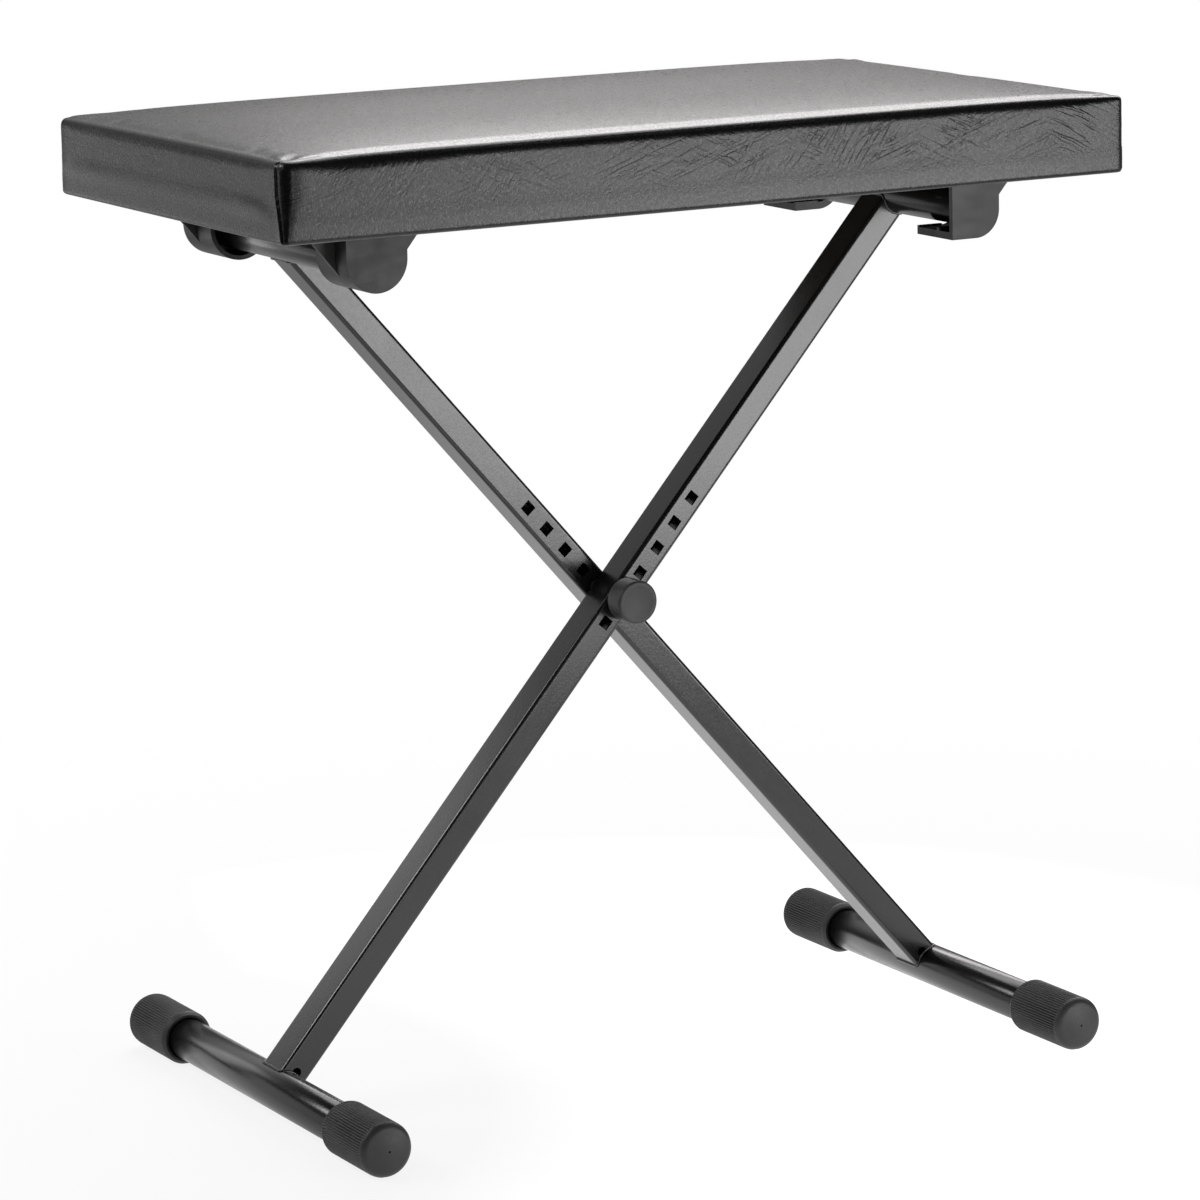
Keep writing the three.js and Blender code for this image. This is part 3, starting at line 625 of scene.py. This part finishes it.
def fold_corners(mesh):
    """The cover's fold at each upright corner: a lip and a sharp step beside it, and at the front left corner a notch
    in the top edge.
    """
    bm = bmesh.new()
    bm.from_mesh(mesh)
    reach = 15 * MM

    def near_corner(point):
        return abs(point.x) > HALF_LENGTH - reach and abs(point.y) > HALF_DEPTH - reach

    edges = [edge for edge in bm.edges if all(near_corner(vert.co) for vert in edge.verts)]
    bmesh.ops.subdivide_edges(bm, edges=edges, cuts=1, use_grid_fill=True)
    for vert in bm.verts:
        point = vert.co
        if not near_corner(point):
            continue
        radius = corner_radius(point)
        a = abs(point.x) - (HALF_LENGTH - radius)
        b = abs(point.y) - (HALF_DEPTH - radius)
        if a <= 0 and b <= 0:
            continue
        if a > 0 and b > 0:
            turn = math.atan2(b, a)
            run = radius * turn
        elif a > 0:
            turn = 0.0
            run = b
        else:
            turn = math.pi / 2
            run = radius * turn - a
        up = (point.z - SEAT_BOTTOM) / (SEAT_TOP - SEAT_BOTTOM)
        line = radius * math.pi / 2 * (FOLD_PLACE + 0.1 * (1 - up))
        from_line = run - line
        if from_line > 0:
            push = -FOLD_DEPTH * math.exp(-from_line / (2.2 * MM))
        else:
            push = FOLD_LIP * math.exp(from_line / (2.0 * MM))
        depth_in = max(0.0, radius - math.hypot(max(a, 0.0), max(b, 0.0)))
        fade = smooth_step(up, 0.0, 0.06) * (1 - smooth_step(depth_in, 2 * MM, 5 * MM))
        out = Vector((math.copysign(math.cos(turn), point.x), math.copysign(math.sin(turn), point.y), 0))
        vert.co += out * push * fade
        notch = smooth_step(up, 0.86, 1.0) * math.exp(-(from_line / (2.4 * MM)) ** 2) * fade
        vert.co.z -= (FOLD_NOTCH if point.x < 0 and point.y < 0 else 0.0) * notch
    folded = bpy.data.meshes.new("folded")
    bm.to_mesh(folded)
    bm.free()
    folded.shade_smooth()
    return folded


def make_cushion():
    bm = box_surface()
    shape_cushion(bm)
    mesh = bpy.data.meshes.new("cushion")
    bm.to_mesh(mesh)
    bm.free()
    mesh = inflate(mesh)
    mesh = fold_corners(subdivided(mesh))
    cushion = new_piece("seat_cushion", mesh, leatherette, "seat", "leatherette", "seat_cover", "foam_core")
    return cushion


make_cushion()
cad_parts["seat_board"].data.materials.clear()
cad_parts["seat_board"].data.materials.append(board_wood)


# Brackets and legs: the CAD's own shapes with their edges rounded

for bracket in ("front_hinge_bracket", "rear_hinge_bracket", "front_hook_bracket", "rear_hook_bracket"):
    new_piece(f"{bracket}_moulding", rounded_copy(bracket, 0.9 * MM, 3), moulded_plastic, "seat",
              "gloss_plastic", bracket)

for leg in ("rear_leg", "front_leg"):
    new_piece(f"{leg}_tube_finished", rounded_copy(f"{leg}_tube", 0.35 * MM, 2, 50), powder_coat, leg,
              "powder_coat", f"{leg}_tube")


# Round tubes

def make_round_tube(node, body):
    x, z, radius, low, high = axis_of(node)
    wall = 1.5 * MM
    edge = 0.4 * MM
    profile = [(radius - wall, low), (radius - edge, low), (radius, low + edge)]
    profile += [(radius, high - edge), (radius - edge, high), (radius - wall, high)]
    bm = turned(profile, along_y(x, z), 128, wraps=True)
    new_piece(f"{node}_finished", mesh_of(bm, 50), powder_coat, body, "powder_coat", node)


for node, body in (("right_foot_bar", "rear_leg"), ("left_cross_tube", "rear_leg"),
                   ("left_foot_bar", "front_leg"), ("right_cross_tube", "front_leg")):
    make_round_tube(node, body)


# Foot caps with fine lengthwise grooves

def make_foot_cap(node, body):
    low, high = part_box(node)
    front = high.y < 0
    tip = -low.y if front else high.y
    mouth = -high.y if front else low.y
    radius = (high.x - low.x) / 2
    x = (low.x + high.x) / 2
    z = high.z - radius
    floor_cut = low.z - z
    end_wall, dome, edge = 7 * MM, 1.6 * MM, 5.5 * MM
    taper, step_in = 3 * MM, 1.1 * MM
    bar_radius = axis_of("right_foot_bar")[2]
    socket = bar_radius + 0.3 * MM
    edge_start = tip - dome - edge
    dome_radius = radius - edge
    grooved_from, grooved_to = mouth + taper, edge_start + 0.4 * MM

    profile = [(0.0, tip - end_wall), (socket, tip - end_wall), (socket, mouth + 0.5 * MM)]
    profile += [(socket + 0.5 * MM, mouth), (radius - step_in - 0.5 * MM, mouth)]
    for share in (0, 0.25, 0.5, 0.75, 1):
        angle = share * math.pi / 2
        profile.append((radius - step_in + step_in * math.sin(angle) - 0.35 * MM * (1 - share),
                        mouth + 0.3 * MM + (taper - 0.3 * MM) * share))
    profile += [(radius, grooved_from + 0.8 * MM), (radius, (mouth + tip) / 2), (radius, grooved_to - 1.2 * MM)]
    profile.append((radius, edge_start))
    for share in (0.17, 0.33, 0.5, 0.67, 0.83, 1):
        angle = share * math.pi / 2
        profile.append((dome_radius + edge * math.cos(angle), edge_start + edge * math.sin(angle)))
    for share in (0.8, 0.6, 0.4, 0.2, 0.09, 0.06):
        profile.append((dome_radius * share, tip - dome * share ** 2))
    profile += [(dome_radius * 0.055, tip - 1.2 * MM), (0.0, tip - 1.2 * MM)]

    side = -1 if front else 1
    steps = GROOVES * 6
    bm = bmesh.new()
    rows = []
    for ring_radius, y in profile:
        if ring_radius == 0.0:
            rows.append([bm.verts.new((x, side * y, z))])
            continue
        grooved = grooved_from < y < grooved_to and ring_radius > socket + 1 * MM
        row = []
        for step in range(steps):
            wave = 0.5 + 0.5 * math.cos(TURN * step * GROOVES / steps)
            depth = GROOVE_DEPTH * wave ** 1.5 if grooved else 0.0
            r = ring_radius - depth
            angle = TURN * step / steps
            down = max(floor_cut, r * math.sin(angle)) if ring_radius > socket + 1 * MM else r * math.sin(angle)
            row.append(bm.verts.new((x + r * math.cos(angle), side * y, z + down)))
        rows.append(row)
    for near, far in zip(rows, rows[1:]):
        if len(near) == 1:
            for step in range(steps):
                bm.faces.new((near[0], far[step], far[(step + 1) % steps]))
        elif len(far) == 1:
            for step in range(steps):
                bm.faces.new((near[step], near[(step + 1) % steps], far[0]))
        else:
            for step in range(steps):
                after = (step + 1) % steps
                bm.faces.new((near[step], near[after], far[after], far[step]))
    new_piece(f"{node}_grooved", mesh_of(bm, 50), rubber, body, "rubber", node)


for side_x, body in (("right", "rear_leg"), ("left", "front_leg")):
    for side_y in ("front", "rear"):
        make_foot_cap(f"{side_x}_{side_y}_foot_cap", body)


# Welds: a rippled bead all round each leg's end, lying on the tube

def leg_place(foot_bar, cross_tube):
    """The leg's own frame: origin on the foot bar's axis, Z up the leg, Y as in the row frame."""
    foot_x, foot_z = axis_of(foot_bar)[:2]
    head_x, head_z = axis_of(cross_tube)[:2]
    foot, head = Vector((foot_x, 0, foot_z)), Vector((head_x, 0, head_z))
    up = (head - foot).normalized()
    across = Vector((0, 1, 0)).cross(up)
    turn = Matrix((across, Vector((0, 1, 0)), up)).transposed().to_4x4()
    return Matrix.Translation(foot) @ turn, (head - foot).length


def make_weld(name, place, y_low, y_high, width, tube_radius, height, body, node):
    bead = 1.15 * MM
    corner = 2.5 * MM
    half_x = width / 2
    half_y = (y_high - y_low) / 2
    middle_y = (y_low + y_high) / 2
    inward = -1 if height > 0 else 1
    steps = 240
    sides = 10
    straight_x, straight_y = 2 * (half_x - corner), 2 * (half_y - corner)
    arc = corner * math.pi / 2
    total = 2 * (straight_x + straight_y) + 4 * arc

    def on_leg(distance):
        """A point on the leg's outline, and the way out from it."""
        legs = ((straight_y, (1, 0), (half_x, -half_y + corner), (0, 1)),
                (straight_x, (0, 1), (half_x - corner, half_y), (-1, 0)),
                (straight_y, (-1, 0), (-half_x, half_y - corner), (0, -1)),
                (straight_x, (0, -1), (-half_x + corner, -half_y), (1, 0)))
        for length, out, start, way in legs:
            if distance <= length:
                return (start[0] + way[0] * distance, start[1] + way[1] * distance), out
            distance -= length
            if distance <= arc:
                angle = distance / corner
                end = (start[0] + way[0] * length, start[1] + way[1] * length)
                centre = (end[0] - out[0] * corner, end[1] - out[1] * corner)
                turned_out = (out[0] * math.cos(angle) + way[0] * math.sin(angle),
                              out[1] * math.cos(angle) + way[1] * math.sin(angle))
                return (centre[0] + turned_out[0] * corner, centre[1] + turned_out[1] * corner), turned_out
            distance -= arc
        return on_leg(0)

    rings = []
    ripples = round(total / (1.9 * MM))
    for step in range(steps):
        (px, py), out = on_leg(total * step / steps)
        ripple = 1 + 0.05 * math.sin(TURN * ripples * step / steps) \
            + 0.10 * noise.noise(Vector((px, py, height)) * 200)
        base = math.sqrt(max(0.0, tube_radius ** 2 - px ** 2))
        tilt_up = Vector((-px / tube_radius, 0, -inward * 0 + 1)).normalized()
        centre = Vector((px + out[0] * 0.12 * bead, middle_y + py + out[1] * 0.12 * bead,
                         height + inward * (base + 0.12 * bead)))
        ring = []
        for turn in range(sides):
            angle = TURN * turn / sides
            offset = Vector((out[0], out[1], 0)) * math.cos(angle) + Vector((0, 0, 1)) * math.sin(angle)
            ring.append(place @ (centre + offset * bead * 0.85 * ripple))
        rings.append(ring)
    bm = rings_to_bmesh(rings, wraps=True)
    new_piece(name, mesh_of(bm, 80), powder_coat, body, "powder_coat", node)


for leg, foot_bar, cross_tube in (("rear_leg", "right_foot_bar", "left_cross_tube"),
                                  ("front_leg", "left_foot_bar", "right_cross_tube")):
    place, length = leg_place(foot_bar, cross_tube)
    low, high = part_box(f"{leg}_tube")
    width = 18 * MM
    make_weld(f"{leg}_foot_weld_bead", place, low.y, high.y, width, axis_of(foot_bar)[2], 0.0, leg,
              f"{leg}_foot_weld")
    make_weld(f"{leg}_head_weld_bead", place, low.y, high.y, width, axis_of(cross_tube)[2], length, leg,
              f"{leg}_head_weld")


# Plugs in the front leg's cross tube

def make_plug(node):
    x, z, radius, low, high = axis_of(node)
    side = 1 if high > 0 else -1
    outer = high if side > 0 else -low
    inner = low if side > 0 else -high
    bore = axis_of("right_cross_tube")[2] - 1.8 * MM
    head = 1.5 * MM
    edge = 0.7 * MM
    profile = [(0.5 * MM, side * inner), (bore - 0.5 * MM, side * inner), (bore, side * (inner + 0.6 * MM)),
               (bore, side * (outer - head)), (radius, side * (outer - head))]
    profile += [(radius - edge * (1 - math.cos(a)), side * (outer - edge + edge * math.sin(a)))
                for a in (0.4, 0.8, 1.2, math.pi / 2)]
    profile.append((0.5 * MM, side * outer))
    new_piece(f"{node}_moulded", mesh_of(turned(profile, along_y(x, z), 64), 35), knob_plastic, "front_leg",
              "matte_plastic", node)


make_plug("right_cross_tube_front_plug")
make_plug("right_cross_tube_rear_plug")


# Clamp

def make_knob():
    x, z, radius, front, back = axis_of("clamping_knob")
    edge = 1.7 * MM
    dish = 0.25 * MM
    collar_radius, collar = 11.6 * MM, 3 * MM
    pocket = 5.3 * MM
    pocket_depth = 11.3 * MM
    profile = [(0.2 * MM, front + dish), (radius - 3.6 * MM, front + dish), (radius - 2.9 * MM, front)]
    profile += [(radius - edge + edge * math.sin(a), front + edge - edge * math.cos(a))
                for a in (0.0, 0.3, 0.6, 0.9, 1.2, math.pi / 2)]
    profile += [(radius, back - collar - 0.5 * MM), (radius - 0.5 * MM, back - collar),
                (collar_radius, back - collar), (collar_radius, back - 0.4 * MM), (collar_radius - 0.4 * MM, back),
                (pocket, back), (pocket, back - pocket_depth), (0.2 * MM, back - pocket_depth)]
    new_piece("clamping_knob_moulded", mesh_of(turned(profile, along_y(x, z), 128), 35), knob_plastic, "knob",
              "matte_plastic", "clamping_knob")


def make_ring(node, inner, edge, material, body, slot):
    """A washer, spacer or insert with its edges broken."""
    x, z, radius, low, high = axis_of(node)
    profile = [(inner, low), (radius - edge, low), (radius, low + edge), (radius, high - edge),
               (radius - edge, high), (inner, high)]
    new_piece(f"{node}_finished", mesh_of(turned(profile, along_y(x, z), 96, wraps=True), 40), material, body,
              slot, node)


def make_bolt():
    """The carriage bolt: a domed head at the back and a plain shank; its square neck in the leg is left round."""
    low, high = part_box("pivot_bolt")
    x, z, radius, front, back = axis_of("pivot_bolt")
    shank, head = 3 * MM, 3 * MM
    seat = back - head
    profile = [(0.2 * MM, front), (shank - 0.6 * MM, front), (shank, front + 0.6 * MM), (shank, seat),
               (radius - 0.3 * MM, seat), (radius, seat + 0.3 * MM), (radius, seat + 0.7 * MM)]
    dome_steps = 8
    for step in range(1, dome_steps + 1):
        angle = math.pi / 2 * step / dome_steps
        profile.append((max(0.2 * MM, radius * math.cos(angle)), seat + 0.7 * MM + (head - 0.7 * MM) * math.sin(angle)))
    new_piece("pivot_bolt_turned", mesh_of(turned(profile, along_y(x, z), 64), 40), black_steel, "rear_leg",
              "black_steel", "pivot_bolt")


make_knob()
make_bolt()
make_ring("clamp_washer", 3.3 * MM, 0.25 * MM, zinc, "knob_carrier", "zinc_steel")
make_ring("leg_spacer", 3.3 * MM, 0.2 * MM, knob_plastic, "rear_leg", "matte_plastic")
make_ring("knob_insert", 3.3 * MM, 0.3 * MM, brass, "knob", "brass")


# Wood screws with cross-recessed pan heads

def screw_mesh():
    """A screw about Z with its head's bearing face at z = 0 and its head below it."""
    head, rise, shank = 4 * MM, 2.4 * MM, 2 * MM
    steps = 48
    rings = []
    profile = [(0.4 * MM, 8 * MM + 4.6 * MM), (shank * 0.8, 9 * MM), (shank, 7 * MM), (shank, 0.0), (head, 0.0)]
    profile += [(head, -0.5 * MM)]
    for step in range(1, 7):
        angle = math.pi / 2 * step / 7
        profile.append((head * math.cos(angle) ** 0.7, -0.5 * MM - (rise - 0.5 * MM) * math.sin(angle)))
    for share in (0.45, 0.3, 0.18, 0.05):
        profile.append((head * share, -rise))
    bm = bmesh.new()
    rows = []
    for radius, height in profile:
        row = []
        for step in range(steps):
            angle = TURN * step / steps
            px, py = radius * math.cos(angle), radius * math.sin(angle)
            sunk = 0.0
            if height <= -rise * 0.8:
                near_arm = min(abs(px), abs(py)) < 0.42 * MM
                if near_arm and radius < head * 0.5:
                    sunk = 1.1 * MM
            row.append(bm.verts.new((px, py, height + sunk)))
        rows.append(row)
    for near, far in zip(rows, rows[1:]):
        for step in range(steps):
            after = (step + 1) % steps
            bm.faces.new((near[step], near[after], far[after], far[step]))
    bm.faces.new(rows[0])
    bm.faces.new(rows[-1])
    return mesh_of(bm, 35)


for bracket in ("front_hinge_bracket", "rear_hinge_bracket", "front_hook_bracket", "rear_hook_bracket"):
    for number in range(1, 5):
        node = f"{bracket}_screw_{number}"
        low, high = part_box(node)
        mesh = screw_mesh()
        seat = low.z + 2.4 * MM
        mesh.transform(Matrix.Translation(((low.x + high.x) / 2, (low.y + high.y) / 2, seat))
                       @ Matrix.Rotation(0.7 * number + 0.3, 4, "Z"))
        new_piece(f"{node}_finished", mesh, zinc, "seat", "zinc_steel", node)


# Staples that hold the hem to the board

def make_staples():
    crown, wire, leg_depth = 10 * MM, 0.7 * MM, 0.5 * MM
    spacing = 38 * MM
    inset = HEM_WIDTH * 0.55
    bm = bmesh.new()

    def staple(x, y, turn):
        place = Matrix.Translation((x, y, SEAT_BOTTOM)) @ Matrix.Rotation(turn, 4, "Z")
        path = [Vector((-crown / 2, 0, leg_depth)), Vector((-crown / 2, 0, -wire * 0.2)),
                Vector((-crown / 2 + wire * 0.5, 0, -wire * 0.55)), Vector((crown / 2 - wire * 0.5, 0, -wire * 0.55)),
                Vector((crown / 2, 0, -wire * 0.2)), Vector((crown / 2, 0, leg_depth))]
        rows = []
        for index, point in enumerate(path):
            before, after = path[max(0, index - 1)], path[min(len(path) - 1, index + 1)]
            way = (after - before).normalized()
            side = Vector((0, 1, 0))
            up = way.cross(side)
            row = []
            for step in range(8):
                angle = TURN * (step + 0.5) / 8
                offset = side * math.cos(angle) * wire * 0.65 + up * math.sin(angle) * wire * 0.45
                row.append(bm.verts.new(place @ (point + offset)))
            rows.append(row)
        for near, far in zip(rows, rows[1:]):
            for step in range(8):
                bm.faces.new((near[step], near[(step + 1) % 8], far[(step + 1) % 8], far[step]))
        bm.faces.new(rows[0])
        bm.faces.new(rows[-1])

    count_x = int((2 * HALF_LENGTH - 3 * HEM_WIDTH) / spacing)
    count_y = int((2 * HALF_DEPTH - 3 * HEM_WIDTH) / spacing)
    for index in range(count_x + 1):
        x = (index - count_x / 2) * spacing
        for side in (-1, 1):
            lean = 0.14 * noise.noise(Vector((x * 90, side, 0)))
            staple(x, side * (HALF_DEPTH - inset), lean)
    for index in range(count_y + 1):
        y = (index - count_y / 2) * spacing
        for side in (-1, 1):
            lean = 0.14 * noise.noise(Vector((side, y * 90, 3)))
            staple(side * (HALF_LENGTH - inset), y, math.pi / 2 + lean)
    new_piece("hem_staples", mesh_of(bm, 40), zinc, "seat", "zinc_steel")


make_staples()


# Floor, light and camera

def make_floor():
    """A plain white floor that keeps the bench's shadow near it and is pure white far off. Reflections see it glow as a
    painted light: brightest near the bench, weaker far off and dim towards the room's dim side.
    """
    half = 40.0
    bm = bmesh.new()
    bm.faces.new([bm.verts.new((sx * half, sy * half, -0.2 * MM)) for sx, sy in ((-1, -1), (1, -1), (1, 1), (-1, 1))])
    mesh = bpy.data.meshes.new("floor")
    bm.to_mesh(mesh)
    bm.free()
    floor = bpy.data.objects.new("floor", mesh)
    bpy.context.scene.collection.objects.link(floor)
    material = bpy.data.materials.new("floor")
    material.use_nodes = True
    tree = material.node_tree
    tree.nodes.remove(tree.nodes["Principled BSDF"])
    place = add_node(tree, "ShaderNodeTexCoord").outputs["Object"]
    length = add_node(tree, "ShaderNodeVectorMath", {0: place}, operation="LENGTH").outputs["Value"]
    far_off = between(tree, length, 0.4, 1.0, 0.86, 1.0)
    # Painted light for reflections only: the floor glows up to 1.3 near the bench, less far off and beside the left
    # end, and dims towards the room's dim side.
    aside = add_node(tree, "ShaderNodeVectorMath", {0: place, 1: DIM_SIDE}, operation="DOT_PRODUCT").outputs["Value"]
    fading = maths(tree, "MULTIPLY", between(tree, length, 0.3, 0.95, 1.3, 0.5), between(tree, length, 1.5, 5.0, 1.0, 0.5))
    from_left = add_node(tree, "ShaderNodeVectorMath", {0: place, 1: (-0.45, 0.1, 0)}, operation="DISTANCE")
    fading = maths(tree, "MULTIPLY", fading, between(tree, from_left.outputs["Value"], 0.2, 0.6, 0.6, 1.0))
    dim = maths(tree, "MULTIPLY", between(tree, aside, 0.7, 1.3, 1.0, 0.05), fading)
    path = add_node(tree, "ShaderNodeLightPath").outputs
    reflected = maths(tree, "MAXIMUM", path["Is Glossy Ray"], path["Is Transmission Ray"])
    seen = maths(tree, "MAXIMUM", path["Is Camera Ray"], reflected)
    strength = maths(tree, "MAXIMUM", dim, path["Is Camera Ray"])
    paper = add_node(tree, "ShaderNodeBsdfDiffuse", {"Color": (*grey(0.9), 1)}).outputs["BSDF"]
    white = add_node(tree, "ShaderNodeEmission", {"Color": (1, 1, 1, 1), "Strength": strength}).outputs["Emission"]
    share = maths(tree, "MAXIMUM", maths(tree, "MULTIPLY", seen, far_off), reflected)
    mixed = add_node(tree, "ShaderNodeMixShader", {"Fac": share})
    tree.links.new(paper, mixed.inputs[1])
    tree.links.new(white, mixed.inputs[2])
    tree.links.new(mixed.outputs["Shader"], tree.nodes["Material Output"].inputs["Surface"])
    mesh.materials.append(material)


def make_world():
    """White for the camera. Reflections see a white backdrop behind the bench and a dim room."""
    world = bpy.data.worlds.new("studio")
    bpy.context.scene.world = world
    world.use_nodes = True
    tree = world.node_tree
    tree.nodes.remove(tree.nodes["Background"])
    direction = add_node(tree, "ShaderNodeTexCoord").outputs["Generated"]
    height = add_node(tree, "ShaderNodeSeparateXYZ", {"Vector": direction}).outputs["Z"]
    behind = add_node(tree, "ShaderNodeVectorMath", {0: direction, 1: BACKDROP_SIDE},
                      operation="DOT_PRODUCT").outputs["Value"]
    backdrop = maths(tree, "MULTIPLY", between(tree, behind, 0.45, 0.8), between(tree, height, 0.55, 0.75, 1.0, 0.0))
    rising = between(tree, height, 0.12, 0.42, 0.07, 0.8)
    shade = maths(tree, "ADD", 0.03, maths(tree, "MULTIPLY", backdrop, rising))
    path = add_node(tree, "ShaderNodeLightPath").outputs
    reflected = maths(tree, "MAXIMUM", path["Is Glossy Ray"], path["Is Transmission Ray"])
    seen = maths(tree, "MAXIMUM", path["Is Camera Ray"], reflected)
    strength = maths(tree, "MAXIMUM", shade, path["Is Camera Ray"])
    soft = add_node(tree, "ShaderNodeBackground", {"Color": (1, 1, 1, 1), "Strength": 0.15}).outputs["Background"]
    white = add_node(tree, "ShaderNodeBackground", {"Color": (1, 1, 1, 1), "Strength": strength}).outputs["Background"]
    mixed = add_node(tree, "ShaderNodeMixShader", {"Fac": seen})
    tree.links.new(soft, mixed.inputs[1])
    tree.links.new(white, mixed.inputs[2])
    tree.links.new(mixed.outputs["Shader"], tree.nodes["World Output"].inputs["Surface"])


def make_lamp(name, place, target, width, height, power, in_reflections=True):
    """A soft box that faces the target."""
    light = bpy.data.lights.new(name, "AREA")
    light.shape = "RECTANGLE"
    light.size = width
    light.size_y = height
    light.energy = power
    lamp = bpy.data.objects.new(name, light)
    bpy.context.scene.collection.objects.link(lamp)
    lamp.location = place
    lamp.rotation_mode = "QUATERNION"
    lamp.rotation_quaternion = (Vector(target) - Vector(place)).to_track_quat("-Z", "Y")
    lamp.visible_camera = False
    lamp.visible_glossy = in_reflections
    return lamp


def make_lights():
    strip = make_lamp("high_strip", (2.42, 2.48, 2.42), (0, 0, 0.58), 2.95, 1.15, 50)
    strip.data.color = (1.0, 0.95, 0.96)
    make_lamp("overhead_box", (0.42, 0.66, 1.98), (0, 0, 0.58), 1.25, 1.6, 19.5)
    make_lamp("left_top_box", (-1.25, 0.4, 1.25), (-0.2, 0, 0.3), 1.0, 0.4, 9.0)
    make_lamp("front_right_box", (0.735, -1.28, 0.32), (0, -0.1, 0.4), 0.9, 0.60, 10.3)
    make_lamp("front_strip", (-0.35, -1.45, 0.30), (0, 0, 0.4), 0.5, 0.5, 2.0)
    make_lamp("back_left_card", (-0.46, 1.15, 0.42), (0, 0, 0.3), 0.34, 0.62, 0.7)
    make_lamp("low_left_card", (-1.33, 0.90, 0.31), (-0.2, 0, 0.1), 1.25, 0.62, 1.7)


def make_camera():
    yaw, pitch, roll = (math.radians(a) for a in (CAMERA_YAW, CAMERA_PITCH, CAMERA_ROLL))
    ahead = Vector((math.sin(yaw) * math.cos(pitch), math.cos(yaw) * math.cos(pitch), -math.sin(pitch)))
    level_right = Vector((math.cos(yaw), -math.sin(yaw), 0))
    level_up = level_right.cross(ahead)
    right = level_right * math.cos(roll) + level_up * math.sin(roll)
    up = right.cross(ahead)
    data = bpy.data.cameras.new("camera")
    data.sensor_width = SENSOR_WIDTH
    data.lens = SENSOR_WIDTH * FOCAL_PIXELS / PHOTO_SIDE
    data.shift_x = (PHOTO_SIDE / 2 - MIDDLE_ACROSS) / PHOTO_SIDE
    data.shift_y = (MIDDLE_DOWN - PHOTO_SIDE / 2) / PHOTO_SIDE
    camera = bpy.data.objects.new("camera", data)
    bpy.context.scene.collection.objects.link(camera)
    turn = Matrix((right, up, -ahead)).transposed().to_4x4()
    camera.matrix_world = Matrix.Translation(CAMERA_PLACE) @ turn
    bpy.context.scene.camera = camera


make_floor()
make_world()
make_lights()
make_camera()
bpy.context.scene.view_settings.view_transform = "Standard"
